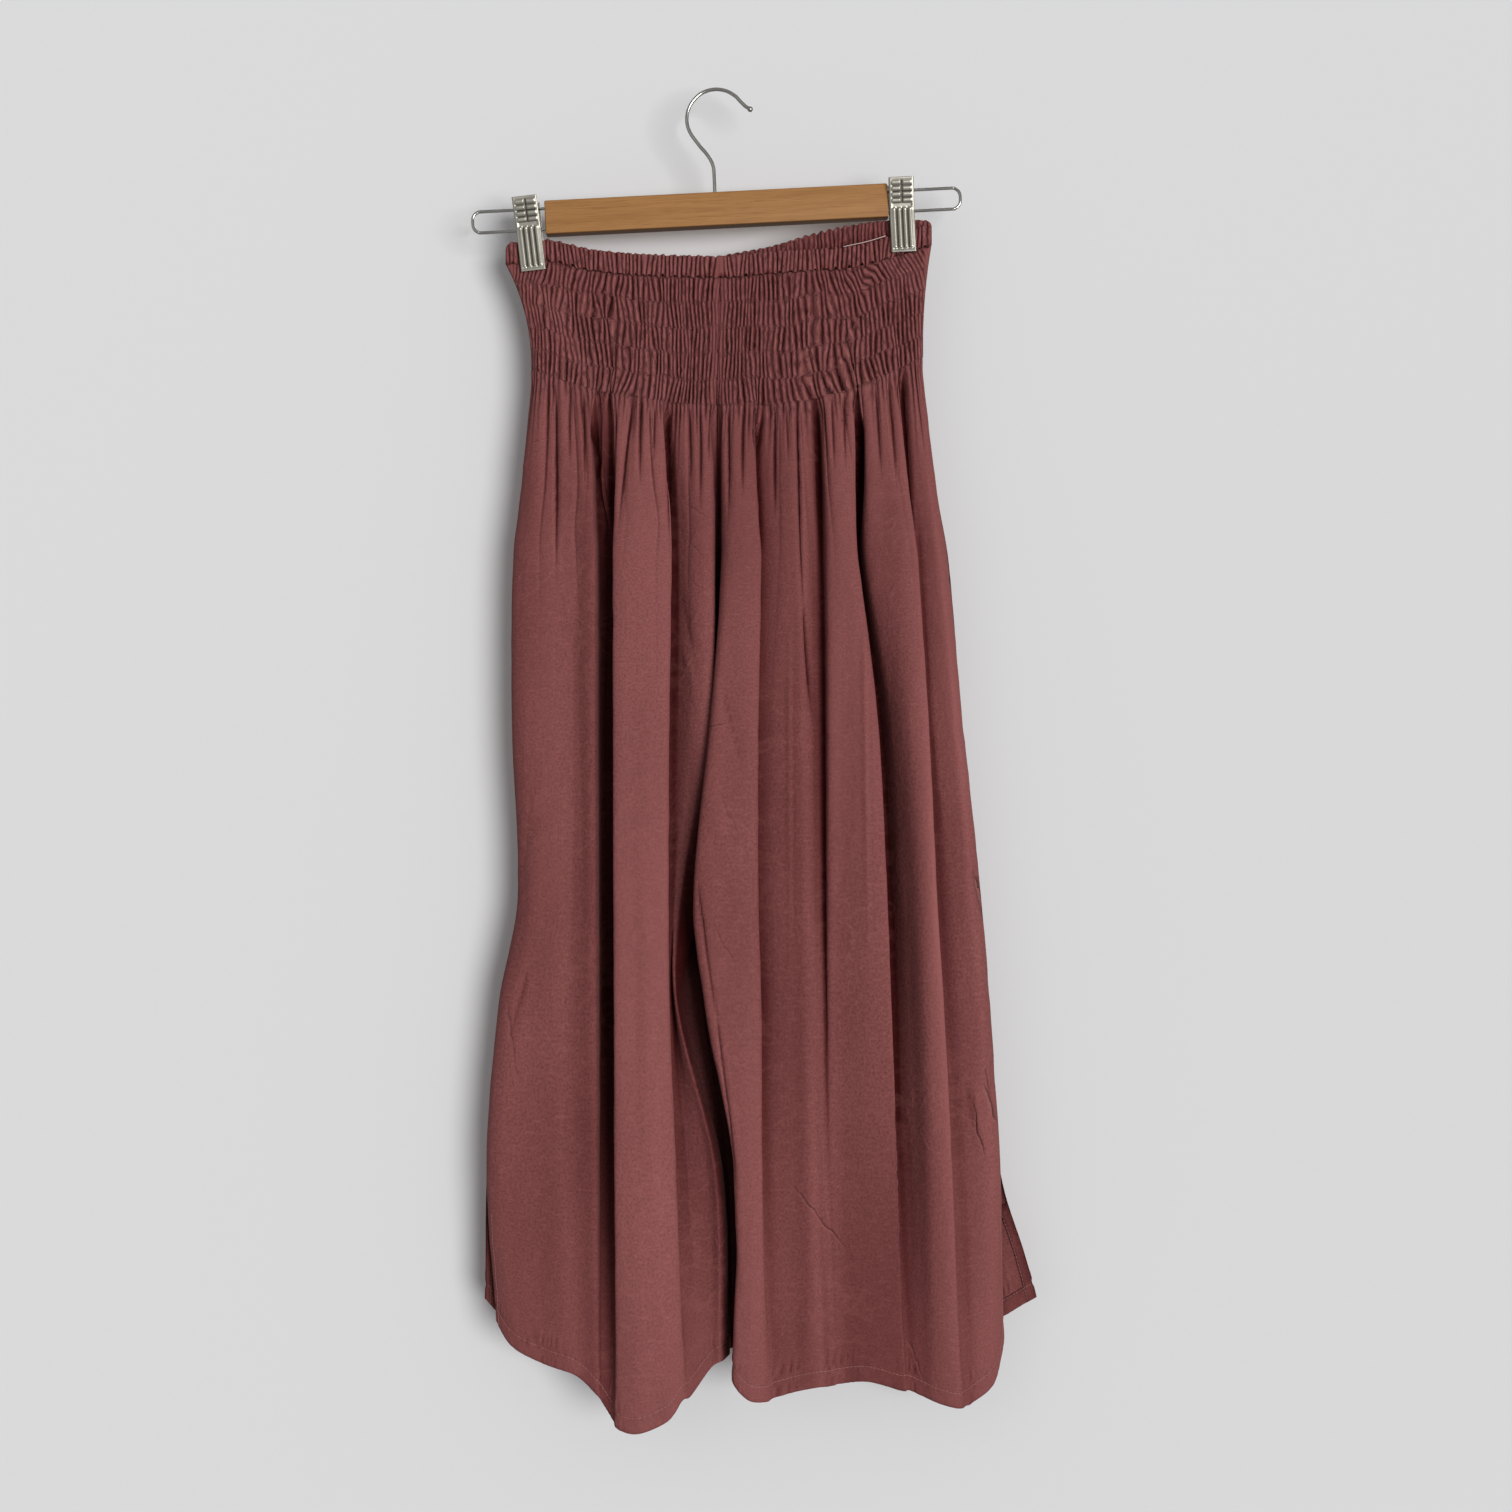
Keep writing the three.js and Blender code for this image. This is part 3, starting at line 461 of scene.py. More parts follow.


# %% [markdown]
# ## Dark valleys and lit crowns
# The folds close into deep valleys that light hardly reaches, and their crowns catch the light. Light
# alone gives part of this, and a soft band of painted shade in the valleys and of painted light on
# the crowns gives the rest. A band is held between two fold lines, so it follows its fold down the
# leg.

# %% Painted shade inside the folds: from, full from, full to, to (counted in fold lines), at each height
FOLD_SHADE = {
    "front_left": [
        (0.8, 1.6, 2.6, 3.4, [0, 0, 0, 0, 0, 0, 0.15, 0.1]),
        (2.6, 3.8, 4.3, 4.6, [0.1, 0.2, 0.3, 0.35, 0.3, 0.3, 0.35, 0.2]),
        (4.2, 4.6, 7.3, 7.8, [0.4, 0.8, 0.9, 0.85, 0.9, 0.95, 0.8, 0.4]),
        (11.2, 11.6, 13.15, 13.4, [0.3, 0.9, 1.0, 0.9, 0.75, 0.6, 0.5, 0.1]),
        (12.5, 13.0, 14.5, 15.2, [0, 0, 0, 0, 0.15, 0.25, 0.3, 0.15]),
        (14.8, 15.2, 17, 18, [0.1, 0.3, 0.35, 0.4, 0.9, 1.0, 0.9, 0.6]),
        (14.6, 15.0, 17, 18, [0, 0, 0, 0.2, 0.9, 1.0, 0.8, 0.4]),
        (15.3, 15.7, 17, 18, [0.2, 0.6, 1.0, 1.0, 1.0, 1.0, 0.9, 0.7]),
    ],
    "front_right": [
        (-1, 0, 0.5, 0.9, [0.2, 0.6, 1.0, 1.0, 1.0, 1.0, 0.9, 0.7]),
        (3.2, 3.5, 4.3, 5.0, [0.2, 0.45, 0.45, 0.4, 0.35, 0.25, 0.2, 0]),
        (4.2, 5.0, 6.5, 7.4, [0, 0.1, 0.12, 0.12, 0.15, 0.15, 0.15, 0.1]),
        (7.7, 8.5, 9.3, 9.8, [0.5, 0.6, 0.55, 0.6, 0.4, 0.2, 0.1, 0]),
        (12.2, 12.6, 14.1, 14.7, [0.8, 1.0, 1.0, 1.0, 0.8, 0.6, 0.5, 0.2]),
        (9.8, 10.6, 12.0, 12.6, [0, 0, 0, 0, 0, 0.1, 0.22, 0.35]),
        (14.0, 14.8, 15.3, 16.0, [0, 0, 0.05, 0.1, 0.15, 0.2, 0.25, 0.25]),
        (17.2, 17.6, 18.6, 19.2, [0.5, 0.6, 0.65, 0.5, 0.25, 0.2, 0.2, 0.1]),
        (18.0, 18.6, 19.0, 19.6, [0, 0.1, 0.1, 0.1, 0.2, 0.2, 0.15, 0.1]),
    ],
    "back_right": [(8.0, 8.7, 9.5, 10.0, [0, 0, 0, 0, 0, 0.05, 0.25, 0.4])],
    "back_left": [(-1.0, -0.5, 0.3, 1.0, [0, 0, 0, 0, 0, 0.05, 0.25, 0.4])],
}


# %% Painted light on the crowns: the same for how much lighter they are
FOLD_LIT = {
    "front_left": [
        (1.0, 2.0, 2.8, 3.4, [0, 0, 0.1, 0.15, 0.15, 0, 0, 0]),
        (7.8, 8.2, 11.0, 11.3, [0, 0.1, 0.1, 0.15, 0.5, 0.45, 0.25, 0.15]),
    ],
    "front_right": [
        (0.9, 1.2, 2.8, 3.1, [0, 0, 0.05, 0.1, 0.05, 0.2, 0.3, 0.15]),
        (9.8, 10.2, 11.5, 12.2, [0, 0, 0.2, 0.35, 0.1, 0, 0, 0]),
        (15.8, 16.8, 17.1, 17.3, [0, 0.2, 0.2, 0.4, 0.8, 0.6, 0.4, 0.1]),
        (18.6, 19.4, 21, 22, [0, 0.3, 0.4, 0.5, 0.1, 0.1, 0.2, 0.1]),
    ],
}


def along_folds(table, name, s, t):
    """How strong a table's bands are at each point of a panel."""
    total = np.zeros(s.shape)
    for start, full, full_end, end, strengths in table.get(name, []):
        inside = smoothstep(start, full, s) * smoothstep(end, full_end, s)
        total = np.maximum(total, inside * np.maximum(0, through(KNOTS, strengths, t))[:, None])
    return total


# %% Small ruffled rings, where the gathers double over: x, z, half width, half height
RINGS = {
    "front_right": [
        (72.4, -212, 3.0, 4.6), (71.6, -177.6, 2.4, 3.4), (30, -206, 2.4, 3.4), (112, -190, 2.6, 3.4)
    ],
    "front_left": [(-52, -196, 2.6, 3.6), (-96, -176, 2.6, 3.2), (-28, -226, 2.2, 3.2)],
}


def rings_on(name, p):
    total = np.zeros(p.shape[:2])
    for x, z, half_width, half_height in RINGS.get(name, []):
        ring = np.hypot((p[..., 0] - x) / half_width, (p[..., 2] - z) / half_height)
        total += np.exp(-(((ring - 1) / 0.35) ** 2)) - 0.9 * np.exp(-((ring / 0.5) ** 2))
    return total


# %% [markdown]
# ## Tucks
# Where a stroke is deep, the cloth doubles over and leaves a line that is sharp on one side. The
# mesh is too open for such a line, so the tucks are only measured here: each point of the cloth
# learns how far off the strongest tuck runs, and the material paints it as a line of painted shade.

# %% Tucks and strokes
class Tucks:
    """Keeps, for every point, the strongest tuck near it: how far off it runs and how strong it is."""

    def __init__(self, shape):
        self.off, self.strength, self.weight = np.full(shape, 9.0), np.zeros(shape), np.zeros(shape)

    def add(self, off, strength):
        weight = strength * np.exp(-((off / 2.5) ** 2))
        better = weight > self.weight
        for kept, value in ((self.off, off), (self.strength, strength), (self.weight, weight)):
            kept[better] = np.broadcast_to(value, kept.shape)[better]

    def marks(self):
        return self.off, self.strength * smoothstep(4.0, 2.4, np.abs(self.off))


def strokes_on(name, p, tucks):
    """How far the strokes move the cloth. The sharp ones are added to the tucks."""
    moved = np.zeros(p.shape[:2])
    for number, (x0, z0, x1, z1, depth, width) in enumerate(STROKES[name]):
        run = np.array([x1 - x0, z1 - z0], float)
        length = np.hypot(*run)
        dx, dz = p[..., 0] - x0, p[..., 2] - z0
        along = (dx * run[0] + dz * run[1]) / length**2
        bend = 0.12 * width * np.sin(5 * along + x0)
        off = (dx * run[1] - dz * run[0]) / length + bend
        fade = smoothstep(-0.06, 0.18, along) * smoothstep(1.12, 0.45, along)
        if depth > 0:
            moved += depth * fade * np.exp(-((off / width) ** 2))
            continue
        off = -off * (-1) ** number
        steep = np.where(off < 0, 1.5, 0.6)
        moved += depth * fade * np.exp(-(np.abs(off * steep / width) ** 1.3))
        if depth < -2:
            tucks.add(off, fade * min(1, -depth / 4.2))
    return moved


def drift_field(seed, p, across, along):
    """A soft unevenness made of a few crossing waves, about -1 to 1."""
    rng = np.random.RandomState(seed)
    total = np.zeros(p.shape[:2])
    for _ in range(7):
        turn, phase = rng.uniform(-1, 1), rng.uniform(0, 2 * np.pi)
        wx, wz = rng.uniform(0.7, 1.4) / across, rng.uniform(0.7, 1.4) / along
        total += np.sin(2 * np.pi * (p[..., 0] * wx + turn * p[..., 2] * wz) + phase)
    return total / 3.2


# %% [markdown]
# ## A panel's surface
# Now the parts come together. The rows are close in the shirring, where the form is small, and
# wider down the leg. The hem is turned up and stitched, so its last 12 mm stands a little proud,
# with a groove and small puckers along the stitches.

# %% Rows of a panel
HEM = 12
GATHER_DEEP = 2.5
PLEATS = 12
SEAM_HALF = 3.4
LEAN = [5.0, 8.5, 10.0, 10.5, 10.5, 10.5]


def leg_heights(rows):
    """Shares of the leg's height, closer together below the gathers and at the hem."""
    fine = np.linspace(0, 1, 2001)
    closeness = 1 + 3 * np.exp(-fine / 0.12) + 2.2 * np.exp(-(1 - fine) / 0.03)
    summed = np.concatenate([[0], ((closeness[1:] + closeness[:-1]) / 2).cumsum()])
    return np.interp(np.linspace(0, summed[-1], rows + 1), summed, fine)


def outward(way, facing):
    return np.stack([-way[..., 1], way[..., 0], np.zeros_like(way[..., 0])], -1) * facing


def height_above_hem(p):
    steps = np.linalg.norm(np.diff(p[::-1], axis=0), axis=-1).cumsum(0)
    return np.concatenate([np.zeros((1, p.shape[1])), steps])[::-1]


def pleats_below(seed, t, share, widths, tucks):
    """How deep the uneven pleats lie that run out of the gathers. The deeper ones join the tucks."""
    shifts, widths_of = uneven(seed + 60, PLEATS, -0.45, 0.45), uneven(seed + 61, PLEATS, 1.1, 3.4)
    depths, reaches = uneven(seed + 62, PLEATS, 0.5, 3.6), uneven(seed + 63, PLEATS, 0.02, 0.15)
    total = 0
    for k in range(PLEATS):
        place = (k + 0.5 + shifts[k]) / PLEATS + 0.04 * shifts[k] * t[:, None]
        off = (share - place) * widths[:, None] / widths_of[k]
        lopsided = np.where(off > 0, off * 0.55, off * 1.5) if k % 3 else off
        fade = np.exp(-((t[:, None] / reaches[k]) ** 1.5)) * smoothstep(0, 0.02, t)[:, None]
        total = total + depths[k] * np.exp(-(np.abs(lopsided) ** 1.2)) * fade
        tucks.add(off * widths_of[k], min(0.9, 0.4 * max(0, depths[k] - 0.4)) * fade)
    return total


def hem_rise(seed, p, share, up):
    """The hem: a turned band, a stitched groove above it, and puckers along the stitches."""
    waves = share + 0.012 * np.sin(31 * share + seed) + 0.006 * np.sin(83 * share)
    pucker = 0.6 + 0.4 * np.sin(2 * np.pi * GATHERS * 0.9 * waves - 0.12 * up)
    some = 0.35 + 0.65 * smoothstep(-0.3, 0.9, drift_field(seed + 15, p, 60, 900))
    band = 0.45 * smoothstep(HEM + 1.0, HEM - 1.0, up)
    groove = 1.2 * pucker * np.exp(-(((up - HEM) / 2.2) ** 2))
    above = 1.3 * pucker * some * np.exp(-(((up - HEM - 6) / 5.5) ** 2))
    return band - groove + above + 0.7 * (pucker - 0.6) * some * smoothstep(HEM, 4, up)


def leg_rise(name, p, t, share, up, widths):
    """How far the leg's cloth stands out from its folds: gathers, pleats, swells, creases and hem.

    Also gives the marks that the material needs to draw the gathers and tucks: the count of gathers,
    the band, how strongly the cloth is gathered, and the way off and strength of the nearest tuck.
    """
    panel = PANELS[name]
    seed, from_centre = panel["seed"], share if panel["right"] else 1 - share
    lean = LEAN[-1] * side_share(p[0, :, 0])
    phase = gather_phase(share, np.full((1, 1), float(BANDS)), seed, GATHERS) + lean
    reach = np.interp(share, np.linspace(0, 1, GATHERS), uneven(seed + 50, GATHERS, 0.008, 0.04))
    fade = np.exp(-((t[:, None] / reach) ** 1.2)) * (0.4 + 0.6 * smoothstep(0, 0.008, t)[:, None])
    tucks = Tucks(p.shape[:2])
    rise = -GATHER_DEEP * valley_depth(phase, seed * 7 + BANDS, GATHERS) * fade
    rise = rise - pleats_below(seed, t, share, widths, tucks)

    swell = 0.7 * drift_field(seed, p, 38, 900)
    off_seams = smoothstep(0, 5, np.minimum(share, 1 - share) * widths[:, None])
    rise = rise + smoothstep(0.01, 0.12, t)[:, None] * swell + strokes_on(name, p, tucks) * off_seams
    crinkle = drift_field(seed + 9, p, 70, 26) * (0.25 + 0.2 * drift_field(seed + 7, p, 120, 160))
    rise = rise + 0.55 * crinkle + hem_rise(seed, p, share, up)

    centre_dip = np.exp(-((from_centre * widths[:, None] / 1.8) ** 2))
    side_dip = np.exp(-(((1 - from_centre) * widths[:, None] / 1.6) ** 2))
    reach = np.interp(share, np.linspace(0, 1, GATHERS), uneven(seed + 50, GATHERS, 0.006, 0.03))
    drawn = np.exp(-((t[:, None] / reach) ** 1.2))
    band = np.broadcast_to(BANDS + np.minimum(0.45, 90 * t[:, None]), drawn.shape)
    marks = np.stack([np.broadcast_to(phase, drawn.shape), band, drawn, *tucks.marks()], -1)
    return rise - 0.7 * (centre_dip + side_dip), marks


def side_share(x):
    """0 in the middle of the garment, growing to 1 or -1 at its sides."""
    return -np.sign(x) * smoothstep(25, 150, np.abs(x))


# %% The shirred waist of a panel
def waist_sheet(name, foot, foot_way, share, f):
    """The waist before its gathers stand up, and how far each point is from the side and the seam."""
    panel = PANELS[name]
    seam_x = panel["folds"][-1 if panel["right"] else 0][1][0]
    middle_x = panel["folds"][0 if panel["right"] else -1][1][0]
    side = WAIST_RIGHT if panel["right"] else WAIST_LEFT
    even = share[0] if panel["right"] else 1 - share[0]
    head = waist_wall(WAIST_MIDDLE + (side - WAIST_MIDDLE) * even, CASING + SEAM, panel["facing"])
    followed = f**4 * foot[None, :, 0] + (1 - f**4) * (middle_x + (seam_x - middle_x) * even)
    narrow = 1 - (1 - f) ** DRAW_IN
    weights = np.stack([narrow, f**3, f], -1)
    yoke = head[None] * (1 - weights) + foot[None] * weights
    yoke[..., 0] = head[None, :, 0] * (1 - narrow) + followed * narrow
    turned = 0.6 * f[..., None] ** 4
    way = np.array([1, 0, 0]) * (1 - turned) + foot_way[None] * turned
    way /= np.linalg.norm(way, axis=-1, keepdims=True)
    from_seam = np.abs(seam_x + (side - seam_x) * (1 - narrow) - yoke[..., 0])
    return yoke, way, np.abs(side - yoke[..., 0]), from_seam


def gathers_of_bands(yoke, share, f, seed):
    """The count of gathers at each point, its band, the share of that band's height, and the valley."""
    band = f * BANDS + 0.1 * drift_field(seed + 21, yoke, 60, 200)
    number = np.clip(np.floor(band).astype(int), 0, BANDS - 1)
    within = np.clip(band - number, 0, 1)
    lean = np.interp(np.clip(band, 0, BANDS), np.arange(BANDS + 1), LEAN) * side_share(yoke[..., 0])
    phase = gather_phase(share, band, seed, GATHERS) + lean + band_shift(share, number, seed)
    valley = sum(
        np.where(number == k, valley_depth(phase, seed * 7 + k, GATHERS), 0) for k in range(BANDS)
    )
    return phase, band, within, valley


def shirred(name, foot, foot_way, share):
    """The waist from the casing's seam down to the last row of elastic."""
    panel = PANELS[name]
    facing, seed = panel["facing"], panel["seed"]
    f = np.linspace(0, 1, panel["grid"]["yoke"], endpoint=False)[:, None]
    yoke, way, from_side, from_seam = waist_sheet(name, foot, foot_way, share, f)
    phase, band, within, valley = gathers_of_bands(yoke, share, f, seed)
    puff = np.sin(np.pi * np.clip(within, 0.001, 0.999)) ** 0.45
    from_centre = np.abs(yoke[..., 0] - WAIST_MIDDLE * (1 - f))
    free = 0.5 + 0.5 * smoothstep(SEAM_HALF, SEAM_HALF + 3, from_centre)
    free = free * (0.2 + 0.8 * smoothstep(4, 8, from_side))
    lift = 0.5 + 2.1 * puff - (0.9 + 2.0 * puff) * valley * free
    lift -= 0.7 * np.exp(-((np.minimum(within, 1 - within) / 0.05) ** 2))
    lift += 0.45 * drift_field(seed + 31, yoke, 14, 18) * free
    lift -= 0.9 * np.exp(-((from_centre / 1.2) ** 2))
    lift += 1.2 * rings_on(name, yoke)
    lift *= (0.25 + 0.75 * smoothstep(0, 0.04, f)) * pressed_by_clips(yoke[..., 0] - 60 * f)
    lift *= 0.2 + 0.8 * smoothstep(0, 7, from_seam)
    none = np.zeros_like(phase)
    marks = np.stack([phase, np.broadcast_to(band, phase.shape), free + none, none + 9, none], -1)
    return yoke + outward(way, facing) * lift[..., None], marks


# %% A whole panel
CLEAR = 0.05


def kept_apart(y, facing, clear):
    """Front and back pieces each stay on their own side of the middle plane."""
    return np.minimum(y, -clear) if facing < 0 else np.maximum(y, clear)


def panel_shade(name, s, t, from_centre):
    """Painted shade (above 0) or painted light (below 0) on the leg, and painted shade between the legs."""
    reach = 7 if PANELS[name]["facing"] < 0 else 60
    shade_between_legs = smoothstep(reach, 0.3 * reach, from_centre)
    shade_between_legs = shade_between_legs * smoothstep(CROTCH, CROTCH + 0.05, t)[:, None]
    dark = np.maximum(shade_between_legs, along_folds(FOLD_SHADE, name, s, t))
    return dark - (dark < 0.1) * along_folds(FOLD_LIT, name, s, t)


def panel_surface(name):
    panel = PANELS[name]
    t = leg_heights(panel["grid"]["leg"])
    places = with_ends(panel, fold_places(panel, t), t)
    s, widths = even_steps(places, panel["grid"]["columns"])
    p, way = on_section(places, s)
    share = np.linspace(0, 1, panel["grid"]["columns"] + 1)[None, :]
    up = height_above_hem(p)
    rise, leg_marks = leg_rise(name, p, t, share, up, widths)
    yoke, yoke_marks = shirred(name, p[0], way[0], share)
    join = np.exp(-((t / 0.006) ** 2))[:, None]
    rise = rise * (1 - join) + join * (0.9 + rise)
    surface = np.concatenate([yoke, p + outward(way, panel["facing"]) * rise[..., None]])
    surface[..., 1] = kept_apart(surface[..., 1], panel["facing"], CLEAR)
    from_centre = (share if panel["right"] else 1 - share) * widths[:, None]
    shade = np.concatenate([np.zeros(yoke.shape[:2]), panel_shade(name, s, t, from_centre)])
    return surface, up, np.concatenate([yoke_marks, leg_marks]), shade


def hollows(surface, facing):
    """How deep each point lies in a fold or gather, from 0 outside to 1 in a closed valley."""
    out = surface[..., 1] * facing

    def beside(reach):
        padded = np.pad(out, ((0, 0), (reach + 1, reach)), mode="edge").cumsum(1)
        return (padded[:, 2 * reach + 1 :] - padded[:, : -2 * reach - 1]) / (2 * reach + 1)

    small = np.clip((beside(3) - out) / 0.7, 0, 1)
    large = np.clip((beside(14) - out - 1) / 10, 0, 1)
    wide = np.clip((beside(34) - out) / 14, 0, 1)
    return np.clip(0.6 * small + 0.55 * large + 0.35 * wide, 0, 1)


def cut_of(surface):
    """The width and length in metres of the flat cloth: the longest row, and the mean column."""
    across = np.linalg.norm(np.diff(surface, axis=1), axis=-1).sum(1)
    along = np.linalg.norm(np.diff(surface, axis=0), axis=-1).sum(0)
    return round(float(np.percentile(across, 90)) * MM, 3), round(float(along.mean()) * MM, 3)


# %% [markdown]
# ## From rows to a mesh
# A grid has the right number of faces, and its vertices are moved to their places on the surface.
# The grid's own square gives the texture map: it is the flat cloth before it was gathered, so the
# weave follows every fold. Solidify gives the cloth its thickness, and Blender's front is its
# outside.

# %% A finished piece rides with the frame and stands for its nodes
CLOTH = 0.5


def finish_mesh(name, bm, material, nodes=(), smooth=True):
    mesh = bpy.data.meshes.new(name)
    bm.to_mesh(mesh)
    bm.free()
    if smooth:
        mesh.shade_smooth()
    mesh.materials.append(material)
    piece = placed(name, mesh)
    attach(piece, "root")
    if nodes:
        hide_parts(*nodes)
    print(name, len(mesh.polygons), "faces")
    return piece


def give_thickness(piece, thick):
    shell = piece.modifiers.new("thickness", "SOLIDIFY")
    shell.thickness = thick * MM
    shell.offset = -1


# %% A grid laid on a surface
def mark_points(mesh, name, kind, values):
    """Keeps a value for each point of a grid, whose rows Blender counts from below."""
    field = "value" if kind == "FLOAT" else "vector"
    attribute = mesh.attributes.new(name, kind, "POINT")
    attribute.data.foreach_set(field, values[::-1].astype(np.float32).ravel())


def cloth_piece(name, node, surface, cut, material, facing, marks, shade=0, reverse=False, thick=CLOTH):
    rows, columns = surface.shape[0] - 1, surface.shape[1] - 1
    bm = bmesh.new()
    bm.loops.layers.uv.new("cloth")
    bmesh.ops.create_grid(bm, x_segments=columns, y_segments=rows, size=0.5, calc_uvs=True)
    for vert in bm.verts:
        i, j = round((vert.co.x + 0.5) * columns), round((0.5 - vert.co.y) * rows)
        vert.co = surface[j, i] * MM
    if reverse:
        bmesh.ops.reverse_faces(bm, faces=bm.faces)
    piece = finish_mesh(name, bm, material, [node] if node else [])
    mesh = piece.data
    flat = np.empty(len(mesh.loops) * 2, np.float32)
    layer = mesh.uv_layers[0].data
    layer.foreach_get("uv", flat)
    layer.foreach_set("uv", (flat.reshape(-1, 2) * np.array(cut, np.float32)).ravel())
    # The fold depth and the panel's bands go to the material as painted shade, values below 0 as painted
    # light.
    mark_points(mesh, "painted_shading", "FLOAT", np.maximum(hollows(surface, facing), shade) + np.minimum(shade, 0))
    mark_points(mesh, "shirr", "FLOAT_VECTOR", marks[..., :3])
    mark_points(mesh, "tuck", "FLOAT_VECTOR", np.concatenate([marks[..., 3:], 0 * marks[..., :1]], -1))
    give_thickness(piece, thick)
    return piece


# %% [markdown]
# ## Rayon
# The cloth is a fine plain weave with a dull glow. Its colour is a dusty rose-brown, with painted
# shade in its folds, gathers and tucks, and painted light on their crowns and crease edges. Two crossed
# waves on the flat cloth make the weave, slubs make some threads thicker, and a stretched noise makes
# the dry crinkles of washed rayon. Sheen lightens the edges of each fold, as loose fibres do.

# %% Node helpers
def linear(r, g, b):
    """A colour from screen values of 0 to 255."""
    shares = [v / 255 for v in (r, g, b)]
    return (*(v / 12.92 if v <= 0.04045 else ((v + 0.055) / 1.055) ** 2.4 for v in shares), 1)


class Nodes:
    """Adds shader nodes by name, and joins what they are given."""

    def __init__(self, name):
        self.material = bpy.data.materials.new(name)
        self.material.use_nodes = True
        self.tree = self.material.node_tree
        self.shader = self.tree.nodes["Principled BSDF"]

    def add(self, kind, settings=(), **inputs):
        node = self.tree.nodes.new("ShaderNode" + kind)
        for key, value in dict(settings).items():
            setattr(node, key, value)
        for key, value in inputs.items():
            self.join(node, key.replace("_", " "), value)
        return node

    def join(self, node, key, value):
        socket = node.inputs[int(key[5:])] if key.startswith("input") else node.inputs[key]
        if isinstance(value, bpy.types.NodeSocket):
            self.tree.links.new(value, socket)
        else:
            socket.default_value = value

    def set(self, **inputs):
        for key, value in inputs.items():
            self.join(self.shader, key.replace("_", " "), value)

    def noise(self, where, scale, stretch=(1, 1, 1), detail=3.0):
        laid = self.add("Mapping", Vector=where, Scale=stretch)
        return self.add("TexNoise", Vector=laid.outputs[0], Scale=scale, Detail=detail).outputs["Fac"]

    def mix(self, a, b, fac, blend="MIX"):
        node = self.add("Mix", {"data_type": "RGBA", "blend_type": blend})
        self.join(node, "input6", a)
        self.join(node, "input7", b)
        self.join(node, "input0", fac)
        return node.outputs[2]

    def math(self, operation, a, b=0.0):
        node = self.add("Math", {"operation": operation})
        self.join(node, "input0", a)
        self.join(node, "input1", b)
        return node.outputs[0]

    def times(self, first, *others):
        for other in others:
            first = self.math("MULTIPLY", first, other)
        return first

    def most(self, first, *others):
        for other in others:
            first = self.math("MAXIMUM", first, other)
        return first

    def dot(self, vector, direction):
        node = self.add("VectorMath", {"operation": "DOT_PRODUCT"}, input0=vector, input1=direction)
        return node.outputs["Value"]

    def place(self):
        return self.add("TexCoord").outputs["Object"]

    def marked(self, name, field="Vector"):
        return self.add("Attribute", {"attribute_name": name}).outputs[field]

    def remap(self, value, low, high, to_low, to_high):
        node = self.add("MapRange", Value=value)
        for key, number in zip(("From Min", "From Max", "To Min", "To Max"), (low, high, to_low, to_high)):
            node.inputs[key].default_value = number
        return node.outputs[0]

    def bump(self, height, strength, distance, under=None):
        node = self.add("Bump", Height=height, Strength=strength, Distance=distance)
        if under is not None:
            self.tree.links.new(under, node.inputs["Normal"])
        return node.outputs[0]


# %% [markdown]
# ## Creases across the threads
# Some creases run aslant, from a hand or from the way the cloth was folded. A slanted line breaks up
# into steps on a mesh whose rows are far apart, so these are drawn by the material: it measures how
# far each point lies from a crease's line, and paints shadow on one side and a highlight on the other.

# %% Creases on the front: x and z at both ends, width, strength
CREASES = [
    (58, -868, 104, -924, 1.5, 0.6),
    (-152, -284, -130, -280, 1.2, 0.25),
    (186, -386, 200, -394, 1.4, 0.6),
    (204, -622, 216, -660, 1.8, 0.8),
    (208, -652, 217, -676, 1.4, 0.6),
    (212, -790, 223, -826, 1.8, 0.8),
    (203, -806, 212, -850, 1.5, 0.7),
    (-8, -512, 10, -504, 1.2, 0.5),
    (2, -560, 20, -596, 2.2, 0.22),
    (-6, -655, 16, -700, 2.2, 0.22),
    (-178, -985, -160, -1012, 1.5, 0.5),
    (-25, -330, -8, -344, 1.6, 0.25),
    (-24, -358, -10, -380, 1.6, 0.25),
    (-20, -392, -6, -404, 1.6, 0.25),
    (-168, -720, -158, -790, 2.2, 0.3),
    (150, -990, 166, -1026, 1.4, 0.4),
]

# %% Plain cloth: its threads, and the wrinkles of washing
THREAD = 0.45 * MM


def threads_along(n, flat, direction):
    settings = {"wave_type": "BANDS", "bands_direction": direction, "wave_profile": "SIN"}
    scale = 2 * math.pi / THREAD / 20
    return n.add("TexWave", settings, Vector=flat, Scale=scale, Distortion=0.6, Detail=1.0).outputs["Fac"]


def washed(n, place):
    """Thin ridges that stand in patches."""
    ridged = n.noise(place, 46, (0.75, 1.0, 1.25), 2.0)
    ridged = n.remap(n.math("ABSOLUTE", n.math("SUBTRACT", ridged, 0.5)), 0.0, 0.07, 1, 0)
    return n.times(ridged, n.remap(n.noise(place, 13, (1, 1, 0.7), 2.0), 0.42, 0.66, 0.1, 1))
